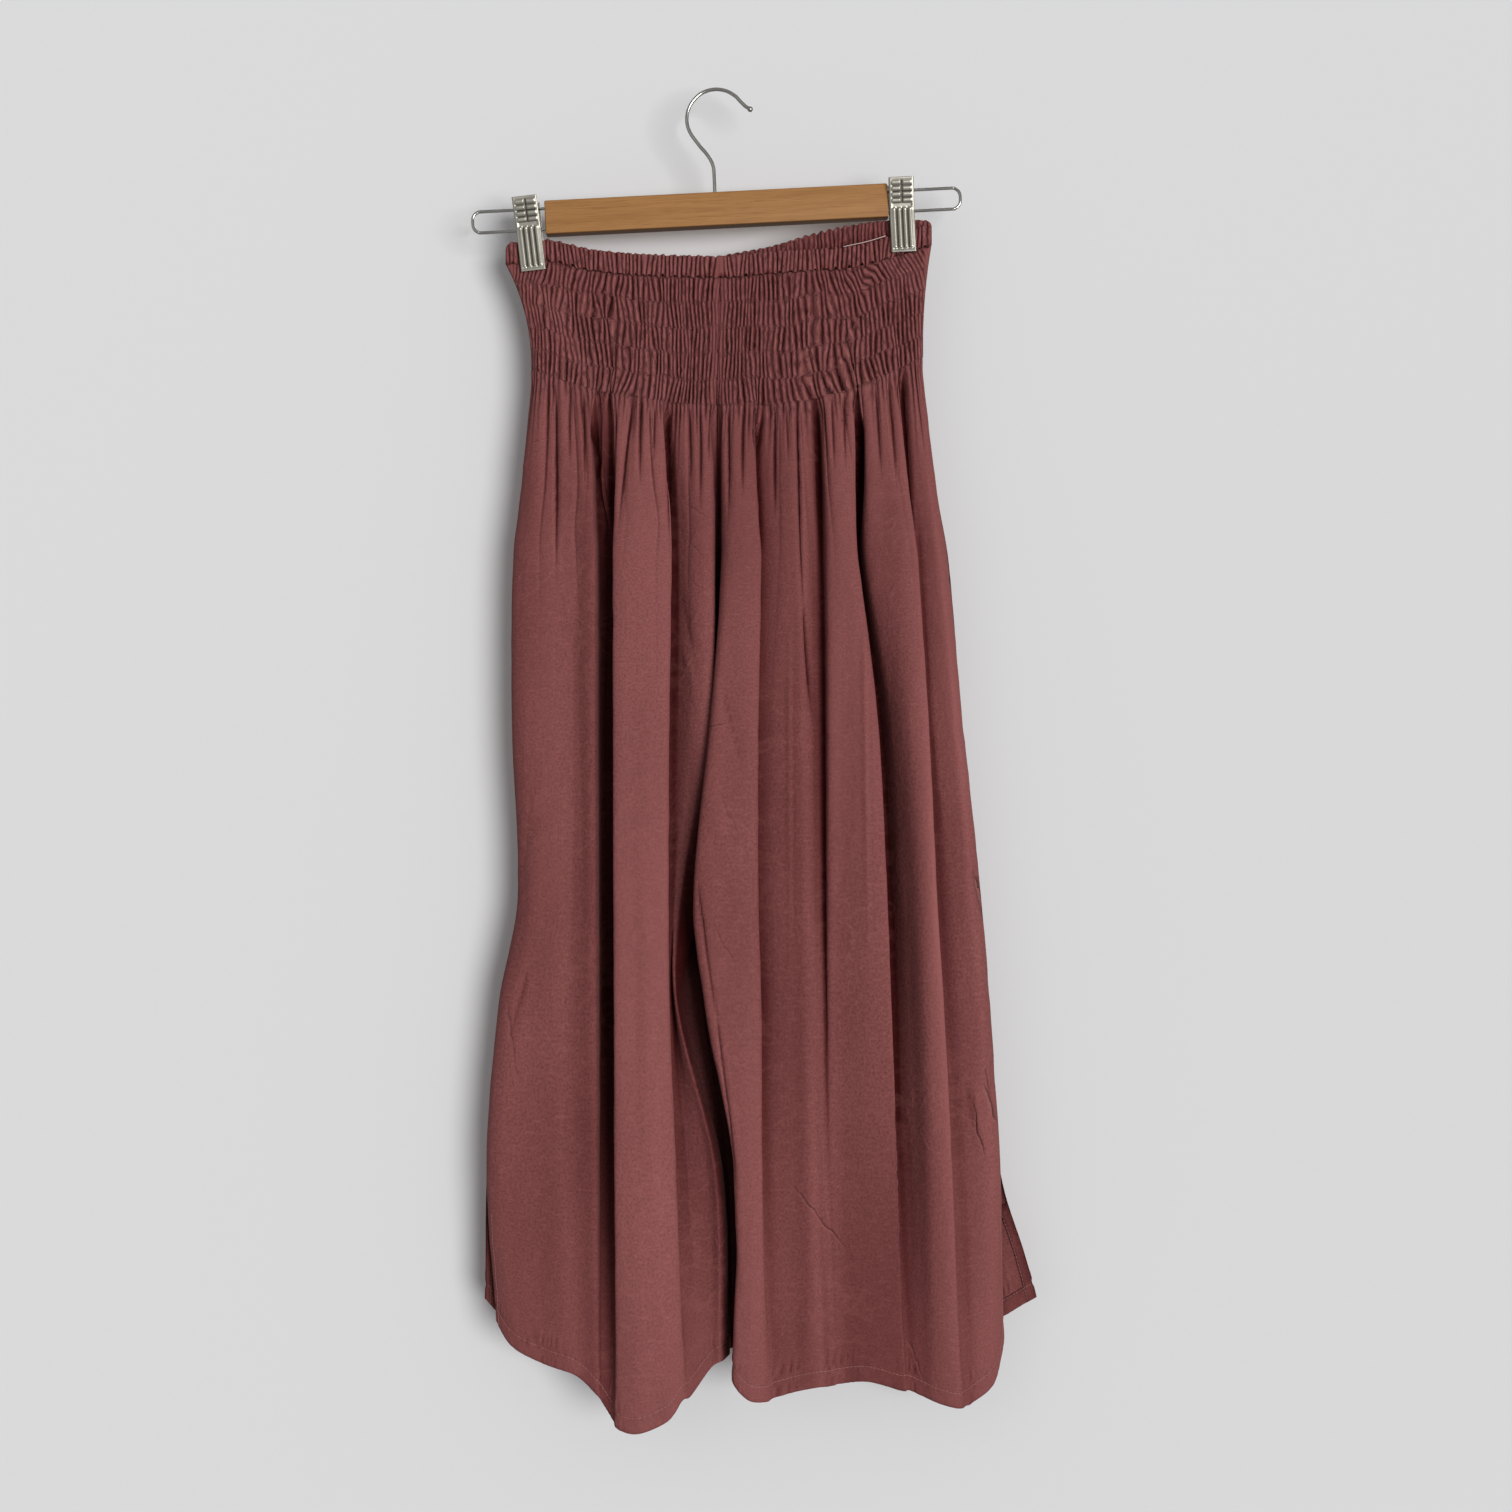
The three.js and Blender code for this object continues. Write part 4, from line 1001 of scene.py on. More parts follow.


# %% Shirring: a thin line of painted shade at each whole count of gathers and at each elastic, dark specks, and painted light on the puffs
def shirring(n, place, fine):
    counted, band, drawn = n.add("SeparateXYZ", Vector=n.marked("shirr")).outputs
    wander = n.remap(n.noise(place, 190, (1, 1, 0.5), 2.0), 0.3, 0.7, -0.16, 0.16)
    counted = n.math("ADD", counted, wander)
    nearest = n.math("ROUND", counted)
    number = n.add("CombineXYZ", X=nearest, Y=n.math("FLOOR", band)).outputs[0]
    chance = n.add("TexWhiteNoise", {"noise_dimensions": "2D"}, Vector=number).outputs["Value"]
    off = n.math("ABSOLUTE", n.math("SUBTRACT", counted, nearest))
    narrow = n.remap(off, 0.02, 0.27, 1, 0)
    valley = n.times(narrow, narrow, n.remap(chance, 0, 1, 0.4, 1))
    # Painted highlight on the crowns of the puffs between the elastic rows.
    crown = n.times(n.remap(off, 0.26, 0.46, 0, 1), n.remap(fine, 0.35, 0.65, 0.3, 1), drawn)
    zigzag = n.times(n.math("SINE", n.times(counted, 2 * math.pi)), 0.05)
    band = n.math("ADD", band, zigzag)
    off_row = n.math("ABSOLUTE", n.math("SUBTRACT", band, n.math("ROUND", band)))
    elastic = n.times(n.remap(off_row, 0.0, 0.06, 1, 0), n.remap(fine, 0.42, 0.62, 0.1, 0.75))
    specks = n.remap(n.noise(place, 260, (1.3, 1, 0.6), 2.0), 0.54, 0.66, 0, 0.5)
    return n.times(n.most(valley, elastic, specks), drawn), crown, drawn


# %% Tucks: a line of painted shade, sharp on one side where the cloth doubles over, and fading on the other
def tuck_lines(n, fine):
    off, strong, _ = n.add("SeparateXYZ", Vector=n.marked("tuck")).outputs
    off = n.math("ADD", off, n.remap(fine, 0.3, 0.7, -0.2, 0.2))
    slope = n.remap(off, 0.0, 2.2, 1, 0)
    return n.times(n.remap(off, -0.6, -0.05, 0, 1), n.times(slope, slope), strong)


# %% Creases: a line of painted shadow, and a painted highlight on the edge beside it
def crease_lines(n, place, crinkle):
    shadows, lights = 0.0, 0.0
    wander = n.remap(crinkle, 0.3, 0.7, -2.2 * MM, 2.2 * MM)
    for x0, z0, x1, z1, width, strength in CREASES:
        length = math.hypot(x1 - x0, z1 - z0) * MM
        run = Vector((x1 - x0, 0, z1 - z0)) * MM / length
        aside = Vector((-run.z, 0, run.x))
        start = Vector((x0, 0, z0)) * MM
        off = n.math("ADD", n.math("SUBTRACT", n.dot(place, aside), start.dot(aside)), wander)
        along = n.math("DIVIDE", n.math("SUBTRACT", n.dot(place, run), start.dot(run)), length)
        lasting = n.times(n.remap(along, 0, 0.25, 0, strength), n.remap(along, 0.75, 1, 1, 0))
        dark = n.times(n.remap(off, -0.4 * MM, 0, 0, 1), n.remap(off, 0, width * MM, 1, 0))
        edge = n.remap(off, -1.6 * width * MM, -0.3 * MM, 0, 1)
        light = n.times(edge, n.remap(off, -0.3 * MM, 0, 1, 0))
        shadows = n.most(n.times(dark, lasting), shadows)
        lights = n.most(n.times(light, lasting), lights)
    in_front = n.math("LESS_THAN", n.add("SeparateXYZ", Vector=place).outputs["Y"], 0.0)
    return n.times(shadows, in_front), n.times(lights, in_front)


# %% Rayon
def make_rayon():
    n = Nodes("rayon")
    flat = n.add("UVMap", {"uv_map": "cloth"}).outputs[0]
    place = n.place()
    weave = n.times(threads_along(n, flat, "X"), threads_along(n, flat, "Y"))
    slubs = n.noise(flat, 160, (4, 0.8, 1), 3.0)
    picks = n.noise(flat, 160, (0.8, 4, 1), 3.0)
    crinkle = n.noise(place, 60, (1.0, 1.0, 0.6), 4.0)
    fine = n.noise(place, 330, (1.0, 1.0, 0.6), 3.0)
    grain = n.noise(flat, 640, (0.8, 1.5, 1), 2.0)
    cloudy = n.noise(place, 7, (1, 1, 0.5), 2.0)
    wrinkled = washed(n, place)
    gather_shade, crown, drawn = shirring(n, place, fine)
    shadows, pressed = crease_lines(n, place, crinkle)
    folded = n.most(tuck_lines(n, fine), shadows)
    painted_shading = n.marked("painted_shading", "Fac")

    colour = n.mix(linear(119, 64, 63), linear(136, 78, 76), n.remap(cloudy, 0.35, 0.65, 0, 1))
    for tone, share in (
        (linear(92, 45, 45), n.remap(slubs, 0.45, 0.75, 0, 0.18)),
        (linear(158, 100, 97), n.remap(picks, 0.5, 0.75, 0, 0.26)),
        (linear(84, 40, 40), n.remap(grain, 0.42, 0.68, 0, 0.5)),
        (linear(150, 92, 89), n.remap(weave, 0.2, 0.9, 0, 0.14)),
        # Painted light on the fold crowns.
        (linear(150, 89, 87), n.remap(painted_shading, 0, -1, 0, 0.75)),
        # Painted shade in the folds, in the gathers and between the legs.
        (linear(46, 6, 7), n.times(n.most(painted_shading, 0.0), 0.92)),
        # Painted highlight on the crinkle ridges.
        (linear(156, 96, 93), n.times(wrinkled, 0.13)),
        # Painted shade over the gathered cloth, as its small folds shade it.
        (linear(84, 41, 42), n.times(drawn, 0.3)),
        # Painted highlight on the puffs.
        (linear(154, 96, 92), n.times(crown, 0.62)),
        # Painted shade in the gather valleys, at the elastic rows and in dark specks.
        (linear(32, 5, 6), n.times(gather_shade, 0.95)),
        # Painted shade along the tucks and the creases.
        (linear(34, 5, 7), n.times(folded, 0.95)),
        # Painted highlight on the edge beside each crease.
        (linear(158, 100, 96), n.times(pressed, 0.5)),
    ):
        colour = n.mix(colour, tone, share)
    bumps = n.bump(n.math("ADD", crinkle, n.times(wrinkled, 0.35)), 0.5, 2.2 * MM)
    bumps = n.bump(fine, 0.6, 0.7 * MM, bumps)
    bumps = n.bump(grain, 0.3, 0.15 * MM, bumps)
    bumps = n.bump(weave, 0.35, 0.12 * MM, bumps)
    bumps = n.bump(n.math("SUBTRACT", 1.0, n.most(gather_shade, folded)), 0.7, 1.0 * MM, bumps)
    n.set(Base_Color=colour, Normal=bumps, Roughness=0.78, Sheen_Weight=0.1, Sheen_Roughness=0.45)
    n.set(Specular_IOR_Level=n.remap(painted_shading, 0, 0.6, 0.22, 0.0), Sheen_Tint=linear(214, 160, 155))
    return n.material


rayon = make_rayon()

# %% [markdown]
# ## Turned edges
# The hem and the edges of the side slit are turned inwards and stitched, and the turned cloth shows
# where the slit opens. Each is a narrow strip of the same cloth, set just behind the panel along its
# edge, so it follows the panel's folds.

# %% Lines along the edges of a panel
SLIT_TOP = -887
TURN = 10
surfaces = {}


def normals_of(grid):
    """The directions square to a surface whose rows run down and whose columns run to the right."""
    across, down = np.gradient(grid, axis=1), np.gradient(grid, axis=0)
    normal = np.cross(across, down)
    return normal / np.maximum(np.linalg.norm(normal, axis=-1, keepdims=True), 1e-9)


def hem_line(name, height):
    """Points of a panel this far above its hem, and the way out of the cloth at each."""
    surface, up, outs = surfaces[name]
    first = PANELS[name]["grid"]["yoke"]
    points, ways = [], []
    for column in range(surface.shape[1]):
        row = np.interp(height, up[::-1, column], np.arange(len(up))[::-1])
        k = min(int(row), len(up) - 2)
        for grid, found in ((surface, points), (outs, ways)):
            a, b = grid[first + k, column], grid[first + k + 1, column]
            found.append(a + (b - a) * (row - k))
    return np.array(points), np.array(ways)


def slit_line(name, inwards):
    """Points down the side slit of a panel, this far in from its edge, and the way out at each."""
    surface, up, outs = surfaces[name]
    side = -1 if PANELS[name]["right"] else 1
    rows = np.flatnonzero(surface[:, 0 if side > 0 else -1, 2] < SLIT_TOP)
    points, ways = [], []
    for row in rows:
        line, out = surface[row][::side], outs[row][::side]
        length = np.concatenate([[0], np.linalg.norm(np.diff(line, axis=0), axis=-1).cumsum()])
        points.append([np.interp(inwards, length, line[:, axis]) for axis in range(3)])
        ways.append([np.interp(inwards, length, out[:, axis]) for axis in range(3)])
    return np.array(points), np.array(ways)


# %% A strip between two such lines
# The turned strips get an even painted shade, as they lie behind the panel's edge.
TURNED = {"behind": 0.9, "thick": 0.3, "shade": 0.4}


def turned_strip(name, lines, part):
    facing = PANELS[name]["facing"]
    grid = np.stack(
        [points - TURNED["behind"] * ways for points, ways in lines], 0 if part == "hem" else 1
    )
    marks = np.zeros((*grid.shape[:2], 5))
    shade = np.full(grid.shape[:2], TURNED["shade"])
    return cloth_piece(
        f"{part}_turn_{name}", None, grid, cut_of(grid), rayon, facing, marks, shade,
        reverse=facing < 0, thick=TURNED["thick"],
    )


# %% [markdown]
# ## The four panels
# Each panel is cut in one length, from the casing down to the hem, so the shirring is part of it.
# The cut is much wider than the waist, and the elastic takes the fullness in.

# %% Panels
for panel_name, panel in PANELS.items():
    surface, up_from_hem, marks, shade = panel_surface(panel_name)
    surfaces[panel_name] = (surface, up_from_hem, normals_of(surface) * panel["facing"])
    cut = cut_of(surface)
    piece = cloth_piece(
        "panel_" + panel_name, panel_name, surface, cut, rayon, panel["facing"], marks, shade,
        reverse=panel["facing"] > 0,
    )
    hem = turned_strip(panel_name, [hem_line(panel_name, up) for up in (HEM + 1, 8, 4, 0.4)], "hem")
    slit_steps = (TURN, 7, 4, 0.4) if panel["right"] else (0.4, 4, 7, TURN)
    slit = turned_strip(panel_name, [slit_line(panel_name, step) for step in slit_steps], "slit")
    print(panel_name, "flat cut in metres:", cut)

# %% [markdown]
# ## The casings
# The elastic runs in a folded casing along the top. It is a strip sewn on in a fold, so its section
# is a narrow loop: up the outside, over the top and down the inside. Its gathers are closer and
# puffier than those of the panels, and the folded edge is ruffled.

# %% Casings
CASING_GATHERS = 96
CASING_COLUMNS = 520
CASING_THICK = 2.2


def casing_path():
    """Shares of the height, and of the way from the inside (0) to the outside (1), up and over."""
    outside = [(height, 1.0) for height in np.linspace(0, 0.96, 12)]
    turn = [math.pi * k for k in (0.2, 0.4, 0.6, 0.8)]
    over = [(1 + 0.05 * math.sin(a), 0.5 + 0.5 * math.cos(a)) for a in turn]
    inside = [(height, 0.0) for height in np.linspace(0.96, 0, 7)]
    return outside + over + inside


def casing_surface(facing, seed):
    share = np.linspace(0, 1, CASING_COLUMNS + 1)
    x = WAIST_LEFT + (WAIST_RIGHT - WAIST_LEFT) * share
    ends = smoothstep(0, 0.01, share) * smoothstep(0, 0.01, 1 - share)
    free = ends * (1 - 0.85 * np.exp(-(((x - WAIST_MIDDLE) / SEAM_HALF) ** 4)))
    rows, marks = [], []
    for height, outer in casing_path():
        level = np.full_like(share, (1 - height) * 1.0 + (0 if outer else 3))
        phase = gather_phase(share, level, seed, CASING_GATHERS)
        valley = valley_depth(phase, seed + (0 if outer else 9), CASING_GATHERS, 0.14, 0.32)
        puff = math.sin(math.pi * min(1, 0.1 + 0.8 * height)) ** 0.6
        wall = waist_wall(x, CASING * (1 - height), facing)
        tuck = drift_field(seed + 40, wall[None], 9, 14)[0]
        ragged = drift_field(seed + 41, wall[None] * [1, 1, 0], 7, 14)[0]
        wall[:, 2] += (0.7 * ragged - 0.6 * valley) * (1 if height > 0.5 else 2.2) * ends
        near = np.clip(np.minimum(x - WAIST_LEFT, WAIST_RIGHT - x) / 5, 0, 1)
        wall[:, 2] -= 4.5 * height**2 * (1 - np.sqrt(near * (2 - near)))
        lift = 1.1 + 1.3 * puff - (1.2 + 1.5 * puff) * valley * free + 0.6 * tuck * free
        back = -CASING_THICK + 1.0 * valley * free + 0.3 * tuck
        wall[:, 1] += facing * pressed_by_clips(x) * ends * (lift * outer + back * (1 - outer))
        wall[:, 1] = kept_apart(wall[:, 1], facing, 0.12 + 0.1 * height)
        rows.append(wall)
        band = 0.1 + 0.4 * min(height, 1 - 0.4 * height) + 0 * x
        marks.append(np.stack([phase, band, free, 9 + 0 * x, 0 * x], -1))
    return np.stack(rows[::-1]), np.stack(marks[::-1])


def casing_shade(facing):
    """Painted shade on the back casing, most in its mouth; painted shadow along its seam, in uneven
    lengths.
    """
    inside = [0.2 + (0 if outer else 0.5 - 0.45 * height) for height, outer in casing_path()]
    low = [0.9 * smoothstep(0.3, 0, height) if outer > 0.9 else 0 for height, outer in casing_path()]
    broken = np.interp(np.arange(CASING_COLUMNS + 1), np.arange(0, 540, 6), uneven(77, 90, -0.5, 1.1))
    seam = np.array(low)[::-1, None] * np.clip(broken, 0, 1)
    return seam + (np.array(inside)[::-1, None] if facing > 0 else 0)


for side_name, facing, seed in (("front", -1, 71), ("back", 1, 83)):
    surface, marks = casing_surface(facing, seed)
    cut = cut_of(surface)
    piece = cloth_piece(
        "casing_band_" + side_name, "casing_" + side_name, surface, cut, rayon, facing, marks,
        casing_shade(facing), reverse=facing < 0, thick=0.3,
    )
    print(side_name, "casing's flat cut in metres:", cut)

# %% [markdown]
# ## Stitches
# The hem and the slit's edges are held by a line of machine stitches. Each stitch is a short bar
# lying on the cloth, and a loop sets them one after the other along the line.

# %% Stitches
STITCH, STITCH_STEP, STITCH_HALF = 2.3, 3.1, 0.16


def thread_material():
    n = Nodes("thread")
    twist = n.noise(n.place(), 900, (1, 1, 1), 1.0)
    n.set(Base_Color=n.mix(linear(132, 80, 78), linear(170, 118, 112), twist), Roughness=0.6)
    n.set(Normal=n.bump(twist, 0.3, 0.1 * MM))
    return n.material


thread = thread_material()


def stitch_row(bm, points, outs):
    steps = np.linalg.norm(np.diff(points, axis=0), axis=-1)
    length = np.concatenate([[0], steps.cumsum()])

    def at(values, d):
        return Vector([np.interp(d, length, values[:, axis]) for axis in range(3)])

    for start in np.arange(3, length[-1] - 3, STITCH_STEP):
        ends = at(points, start), at(points, start + STITCH)
        run = (ends[1] - ends[0]).normalized()
        out = at(outs, start + STITCH / 2)
        out = (out - run * out.dot(run)).normalized()
        turn = Matrix((run, out, run.cross(out))).transposed().to_4x4()
        middle = (ends[0] + ends[1]) / 2 + out * STITCH_HALF * 0.8
        place = Matrix.Translation(middle * MM) @ turn @ Matrix.Diagonal(
            (STITCH * MM, 2 * STITCH_HALF * MM, 2 * STITCH_HALF * MM, 1)
        )
        bmesh.ops.create_cube(bm, size=1, matrix=place)


for panel_name in PANELS:
    bm = bmesh.new()
    for points, outs in (hem_line(panel_name, HEM), slit_line(panel_name, TURN - 1)):
        stitch_row(bm, points, outs)
        stitch_row(bm, points - 1.25 * outs, -outs)
    finish_mesh("stitches_" + panel_name, bm, thread, smooth=False)

# %% [markdown]
# ## Wood and bright wire
# The hanger is a varnished beech stick with chromed steel wire at its ends. Fine pores and soft
# bands run along the stick. Chrome takes its looks from what it reflects, so its material only
# adds faint scratches and a slight haze. The clips' pressed sheet is plated too, but duller, and
# its grooves are painted dark as shade.

# %% Wood
TILT = math.radians(2.9)
BAR = {"length": 274, "height": 27, "depth": 12, "z": -95.4}


def make_wood():
    n = Nodes("wood")
    laid = n.add("Mapping", Vector=n.place(), Rotation=(0, TILT, 0)).outputs[0]
    bands = n.noise(laid, 20, (0.2, 8, 8), 3.0)
    pores = n.noise(laid, 190, (0.1, 8, 8), 3.0)
    flecks = n.noise(laid, 520, (0.12, 4, 4), 2.0)
    base = n.mix(linear(150, 105, 58), linear(164, 118, 69), n.remap(bands, 0.3, 0.7, 0, 1))
    grain = n.mix(base, linear(124, 82, 42), n.remap(pores, 0.5, 0.72, 0, 0.6))
    colour = n.mix(grain, linear(104, 66, 32), n.remap(flecks, 0.54, 0.75, 0, 0.5))
    # Painted shade: faces that turn downwards are painted darker.
    below = n.add("SeparateXYZ", Vector=n.add("NewGeometry").outputs["Normal"]).outputs["Z"]
    colour = n.mix(colour, linear(74, 46, 24), n.remap(below, -0.25, -0.8, 0, 0.8))
    n.set(Base_Color=colour, Roughness=0.58, Normal=n.bump(pores, 0.3, 0.2 * MM))
    n.set(Specular_IOR_Level=0.25, Coat_Weight=0.05, Coat_Roughness=0.35)
    return n.material


def make_chrome(name, metal, haze_low, tint):
    n = Nodes(name)
    place = n.place()
    haze = n.noise(place, 90, (1, 1, 1), 3.0)
    scratch = n.noise(place, 300, (1, 1, 0.08), 2.0)
    plate = n.mix(linear(*(0.88 * v for v in tint)), linear(*tint), haze)
    # Painted shade: the flat sheet between ribs and bars is darkened.
    groove_shade = n.times(n.marked("groove", "Fac"), 0.93)
    n.set(Base_Color=n.mix(plate, linear(50, 46, 38), groove_shade), Metallic=metal)
    n.set(Roughness=n.remap(haze, 0.3, 0.7, haze_low, haze_low + 0.1))
    n.set(Normal=n.bump(scratch, 0.12, 0.06 * MM))
    return n.material


wood = make_wood()
chrome = make_chrome("chrome", 1.0, 0.1, (188, 186, 180))
plated = make_chrome("plated_steel", 0.75, 0.3, (176, 172, 160))
hang = Matrix.Translation((0, 0, BAR["z"] * MM)) @ Matrix.Rotation(-TILT, 4, "Y")

# %% The stick: a long block with its edges taken off
bm = bmesh.new()
size = Matrix.Diagonal((BAR["length"] * MM, BAR["depth"] * MM, BAR["height"] * MM, 1))
bmesh.ops.create_cube(bm, size=1, matrix=size)
bmesh.ops.bevel(
    bm, geom=bm.edges[:], offset=1.3 * MM, affect="EDGES", segments=4, profile=0.5, material=-1
)
bmesh.ops.transform(bm, matrix=hang, verts=bm.verts)
finish_mesh("stick", bm, wood, ["bar"])

# %% [markdown]
# ## Wires
# A wire is a round section swept along a line. A curve object does that well: it takes the points
# of the line and a radius, and it turns into a mesh at the end. The hook, the two loops and the
# coiled springs of the clips are all made by this one function.

# %% Wire helper
def smooth_line(points, steps=8):
    """A curve through the points, with some steps between each two."""
    points = [Vector(p) for p in points]
    ends = [2 * points[0] - points[1], *points, 2 * points[-1] - points[-2]]
    line = []
    for a, b, c, d in zip(ends, ends[1:], ends[2:], ends[3:]):
        bend, twist = 2 * a - 5 * b + 4 * c - d, 3 * b - a - 3 * c + d
        for k in range(steps):
            u = k / steps
            line.append((b * 2 + (c - a) * u + bend * u**2 + twist * u**3) / 2)
    return [*line, points[-1]]


def wire(name, points, radius, nodes, matrix=None, sides=3, tip=None, look=None):
    curve = bpy.data.curves.new(name, "CURVE")
    curve.dimensions = "3D"
    curve.bevel_depth = radius * MM
    curve.bevel_resolution = sides
    curve.use_fill_caps = True
    spline = curve.splines.new("POLY")
    spline.points.add(len(points) - 1)
    for point, co in zip(spline.points, points):
        place = Vector(co) * MM
        point.co = (*(matrix @ place if matrix else place), 1)
    holder = bpy.data.objects.new(name + "_line", curve)
    mesh = bpy.data.meshes.new_from_object(holder)
    bpy.data.objects.remove(holder)
    bm = bmesh.new()
    bm.from_mesh(mesh)
    bpy.data.meshes.remove(mesh)
    bmesh.ops.remove_doubles(bm, verts=bm.verts, dist=0.001 * MM)
    if tip:
        last = Matrix.Translation(Vector(points[-1]) * MM)
        bmesh.ops.create_uvsphere(bm, u_segments=16, v_segments=10, radius=tip * MM, matrix=last)
    bmesh.ops.recalc_face_normals(bm, faces=bm.faces)
    return finish_mesh(name, bm, look or chrome, nodes)


# %% Hook: stem, slanted neck, bow and ball
HOOK_WIRE, HOOK_BOW, HOOK_TIP = 1.5, 23.7, 2.3
stem = [(-1.2, BAR["z"] + BAR["height"] / 2 - 1.5), (-1.7, -70), (-2.6, -60), (-6.5, -52), (-14, -43)]
bow = [
    (HOOK_BOW * math.cos(math.radians(a)), HOOK_WIRE - HOOK_BOW + HOOK_BOW * math.sin(math.radians(a)))
    for a in (205, 180, 155, 130, 110, 90, 70, 50, 38)
]
hook_line = smooth_line([(x, 0, z) for x, z in [*stem, *bow, (23.4, -12.2), (27, -14.4)]])
wire("hook_wire", hook_line, HOOK_WIRE, ["hook"], sides=4, tip=HOOK_TIP)

# %% Loops at the ends of the stick
LOOP = {"wire": 1.3, "half": 8.4, "reach": 59.5, "corner": 6.5}


def loop_line(side):
    start, end = BAR["length"] / 2 - 6, BAR["length"] / 2 + LOOP["reach"] - LOOP["wire"]
    corner, half = LOOP["corner"], LOOP["half"]
    upper = [(start + (end - corner - start) * k / 3, half) for k in range(4)]
    for angle in (67.5, 45, 22.5, 0):
        a = math.radians(angle)
        upper.append((end - corner + corner * math.cos(a), half - corner + corner * math.sin(a)))
    whole = upper + [(x, -z) for x, z in reversed(upper)]
    return smooth_line([(side * x, 0, z) for x, z in whole], 4)


for side, side_name in ((-1, "left"), (1, "right")):
    wire("wire_loop_" + side_name, loop_line(side), LOOP["wire"], ["loop_" + side_name], hang)

# %% [markdown]
# ## A loose thread
# One end of pale thread lies along the upper edge of the casing, near the right clip. It is a very
# thin wire, so the same helper makes it.

# %% Loose thread
LOOSE = [
    (101, -7.5, -126.3), (110, -8.2, -124.6), (119, -8, -122.6), (128, -7.2, -119.8), (135, -6.4, -117.4)
]
pale = Nodes("pale_thread")
fibres = pale.noise(pale.place(), 700, (1, 1, 1), 2.0)
pale.set(Base_Color=pale.mix(linear(176, 150, 146), linear(214, 196, 190), fibres), Roughness=0.7)
wire("loose_thread", smooth_line(LOOSE), 0.32, [], sides=1, look=pale.material)

# %% [markdown]
# ## Clips
# A clip is two jaws of stamped sheet steel with a spring between them. The stamping shows as short
# bars where the fingers press, and long ribs over the jaw. Here a flat grid is bent over the clip's
# side profile, its rim is folded back, and the stamped pattern is pushed out of it.

# %% The stamped relief of a jaw
CLIP = {"left": 151, "right": 147.8, "width": 20, "above": 16, "below": 42, "spread": 7, "lean": 0.068}
KNEE = -LOOP["half"]
JAW_IN = 4.8
JAW_SHEET = 0.8
JAW_ROUND = 1.0
JAW_RIM = {"in": 1.0, "half": 1.7, "high": 0.45}
RIB = {"count": 4, "pitch": 4.3, "half": 1.55, "high": 1.1}
BARS = {"rows": 4, "pitch": 4.4, "first": 7.0, "half": 1.75, "column": 4.5, "reach": 4.0, "high": 0.9}


def ramp(value, width):
    """From 0 to 1 over a width, and held at both ends."""
    return min(1.0, max(0.0, value / width))


def rounded(distance, half):
    """The height of a round bar at a distance from its middle, as a share of its own."""
    return math.sqrt(max(0.0, 1 - (distance / half) ** 2))


def relief_at(u, v):
    middles = [(k - (RIB["count"] - 1) / 2) * RIB["pitch"] for k in range(RIB["count"])]
    ribs = max(rounded(abs(u - middle), RIB["half"]) for middle in middles)
    high = RIB["high"] * ribs * ramp(KNEE + 2.2 - v, 1.2) * ramp(v + CLIP["below"] - 2.5, 1.5)
    for row in range(BARS["rows"]):
        bar = rounded(abs(v - KNEE - BARS["first"] - row * BARS["pitch"]), BARS["half"])
        inside = ramp(BARS["reach"] - abs(abs(u) - BARS["column"]), 0.9)
        high = max(high, BARS["high"] * bar * inside)
    edge = min(CLIP["width"] / 2 - abs(u), CLIP["above"] - v, v + CLIP["below"])
    rim = JAW_RIM["high"] * ramp(JAW_RIM["half"] - abs(edge - JAW_RIM["in"]), 0.8)
    return max(high, rim) if edge > -JAW_RIM["in"] else high


def groove_at(u, v, relief):
    """1 on the flat sheet between the ribs and bars, which the plating paints dark as shade."""
    lowest = KNEE + BARS["first"] - BARS["pitch"] / 2
    among_bars = lowest < v < lowest + BARS["rows"] * BARS["pitch"]
    among_ribs = 3.2 - CLIP["below"] < v < KNEE + 1.6
    return 1 - ramp(relief, 0.5) if abs(u) < 8.5 and (among_bars or among_ribs) else 0.0


# %% One jaw: a sheet bent at its knee, with its two long edges turned back
def jaw_point(u, v):
    """A point of a jaw's outer face, from u across and v up, both in millimetres on the flat sheet."""
    flat_half = CLIP["width"] / 2 - JAW_ROUND
    side = max(0.0, abs(u) - flat_half)
    angle = min(side, 1.57)
    across = math.copysign(min(abs(u), flat_half) + math.sin(angle) * JAW_ROUND, u)
    back = (1 - math.cos(angle)) + max(0.0, side - 1.57)
    slope = CLIP["spread"] / (CLIP["above"] - KNEE)
    forward = max(0.0, (v - KNEE) * slope)
    relief = relief_at(u, v)
    outer = JAW_IN + JAW_SHEET + forward + relief - min(back, 3.6)
    return Vector((across, -outer, v)), groove_at(u, v, relief)


def jaw(name, node, matrix):
    columns, rows = 52, 100
    width, height = CLIP["width"] + 5.0, CLIP["above"] + CLIP["below"]
    bm = bmesh.new()
    bmesh.ops.create_grid(bm, x_segments=columns, y_segments=rows, size=0.5)
    groove = bm.verts.layers.float.new("groove")
    for vert in bm.verts:
        u, v = vert.co.x * width, vert.co.y * height + (CLIP["above"] - CLIP["below"]) / 2
        place, vert[groove] = jaw_point(u, v)
        vert.co = place * MM
    bmesh.ops.transform(bm, matrix=matrix, verts=bm.verts)
    give_thickness(finish_mesh(name, bm, plated, [node]), JAW_SHEET)


# %% Both clips, each with a coil between its jaws
COIL = {"turns": 8, "steps": 16, "radius": 3.2, "long": 15, "wire": 0.8}


def coil_line():
    points = []
    for k in range(COIL["turns"] * COIL["steps"] + 1):
        a = 2 * math.pi * k / COIL["steps"]
        x = COIL["long"] * (k / (COIL["turns"] * COIL["steps"]) - 0.5)
        points.append((x, COIL["radius"] * math.cos(a), COIL["radius"] * math.sin(a) + KNEE))
    return points


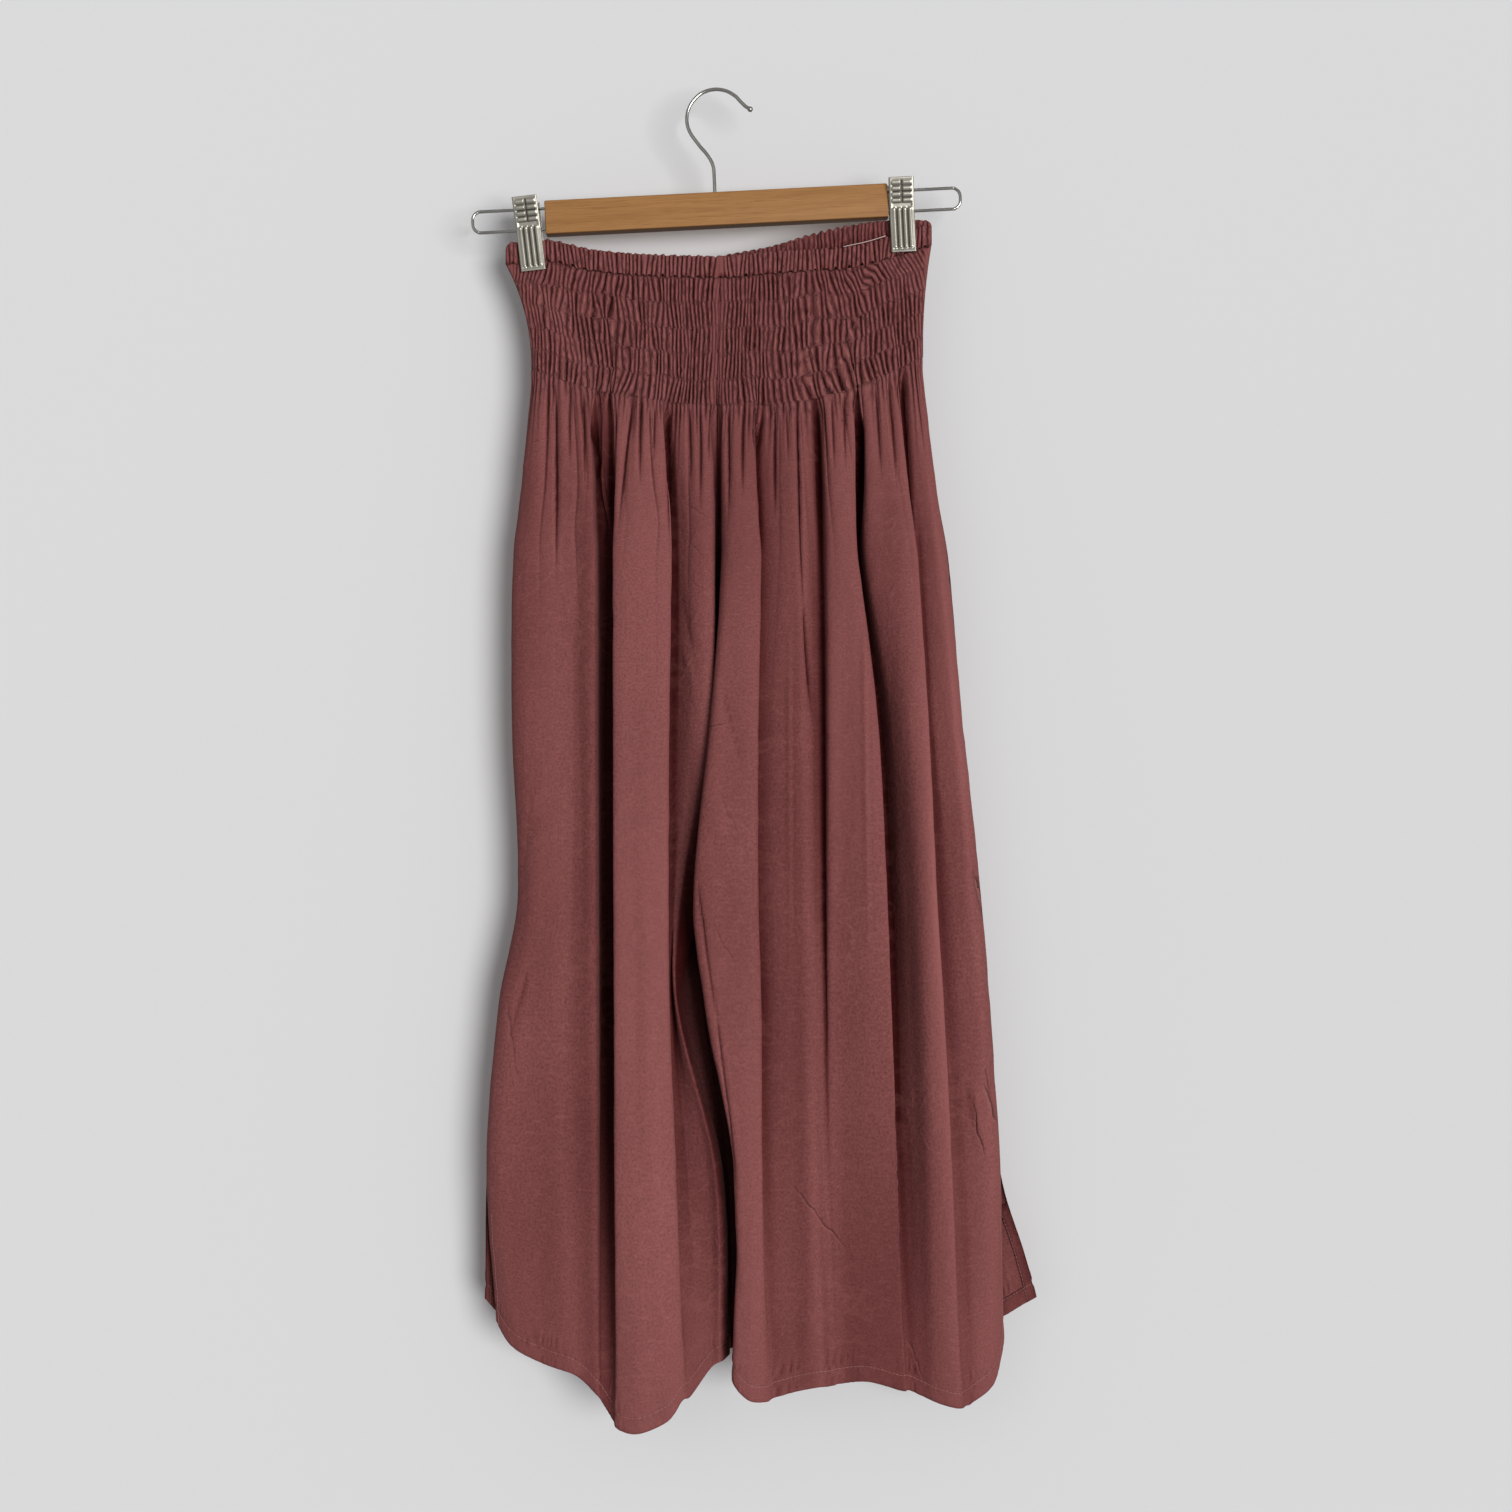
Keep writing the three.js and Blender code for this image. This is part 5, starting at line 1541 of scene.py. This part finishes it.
for side_name, x, lean in (("left", -CLIP["left"], CLIP["lean"]), ("right", CLIP["right"], 0)):
    at = hang @ Matrix.Translation((x * MM, 0, 0)) @ Matrix.Rotation(-lean, 4, "Y")
    stem_name = "clip_" + side_name
    jaw(stem_name + "_front", stem_name + "_front_jaw", at)
    jaw(stem_name + "_back", stem_name + "_back_jaw", at @ Matrix.Rotation(math.pi, 4, "Z"))
    wire(stem_name + "_coil", coil_line(), COIL["wire"], [stem_name + "_spring"], at, sides=1)

# %% [markdown]
# ## Room and light
# A pale wall stands just behind the garment and shows from the front alone, so that a look from
# behind isn't blocked. Its back side lets every ray through. A wide soft light comes from the front
# right, two weak lamps stand at the left and behind, and the pale surroundings fill the rest.

# %% Wall and floor
WALL = linear(212, 212, 213)


def backdrop(name, corners, see_through):
    bm = bmesh.new()
    bm.faces.new([bm.verts.new(Vector(c)) for c in corners])
    mesh = bpy.data.meshes.new(name)
    bm.to_mesh(mesh)
    bm.free()
    n = Nodes(name)
    n.set(Base_Color=WALL, Roughness=0.9)
    if see_through:
        gone = n.add("BsdfTransparent").outputs[0]
        behind = n.add("NewGeometry").outputs["Backfacing"]
        pick = n.add("MixShader", input0=behind, input1=n.shader.outputs[0], input2=gone)
        n.tree.links.new(pick.outputs[0], n.tree.nodes["Material Output"].inputs["Surface"])
    mesh.materials.append(n.material)
    piece = placed(name, mesh)
    return piece


WALL_Y, WALL_LEFT, WALL_RIGHT, WALL_TOP, FLOOR_Z, FLOOR_HALF = 0.04, -0.8, 0.86, 0.4, -1.3, 4
wall_corners = [
    (WALL_LEFT, WALL_Y, FLOOR_Z), (WALL_RIGHT, WALL_Y, FLOOR_Z),
    (WALL_RIGHT, WALL_Y, WALL_TOP), (WALL_LEFT, WALL_Y, WALL_TOP),
]
floor_corners = [(x * FLOOR_HALF, y * FLOOR_HALF, FLOOR_Z) for x, y in ((-1, -1), (1, -1), (1, 1), (-1, 1))]
wall_piece = backdrop("wall", wall_corners, True)
wall_piece.visible_diffuse = False
wall_piece.visible_glossy = False
wall_piece.visible_shadow = False
floor_piece = backdrop("floor", floor_corners, False)
floor_piece.visible_shadow = False


# %% Lamps
def lamp(name, place, size, power, aim=(0.03, 0, -0.55)):
    data = bpy.data.lights.new(name, "AREA")
    data.shape = "SQUARE"
    data.size = size
    data.energy = power
    piece = placed(name, data)
    piece.location = place
    piece.rotation_euler = (Vector(aim) - Vector(place)).to_track_quat("-Z", "Y").to_euler()


lamp("fill", (-1.4, -2.4, 0.1), 1.6, 3)
lamp("back", (0.3, 1.9, 0.6), 1.4, 12)

sun = placed("window", bpy.data.lights.new("window", "SUN"))
sun.data.energy = 2.5
sun.data.angle = math.radians(30)
sun.rotation_euler = Vector((-0.52, 1.0, 0.07)).to_track_quat("-Z", "Y").to_euler()

world = bpy.data.worlds.new("room")
bpy.context.scene.world = world
world.use_nodes = True
surroundings = world.node_tree.nodes["Background"].inputs
surroundings["Color"].default_value = (0.86, 0.86, 0.86, 1)
surroundings["Strength"].default_value = 0.4
bpy.context.scene.view_settings.view_transform = "Standard"
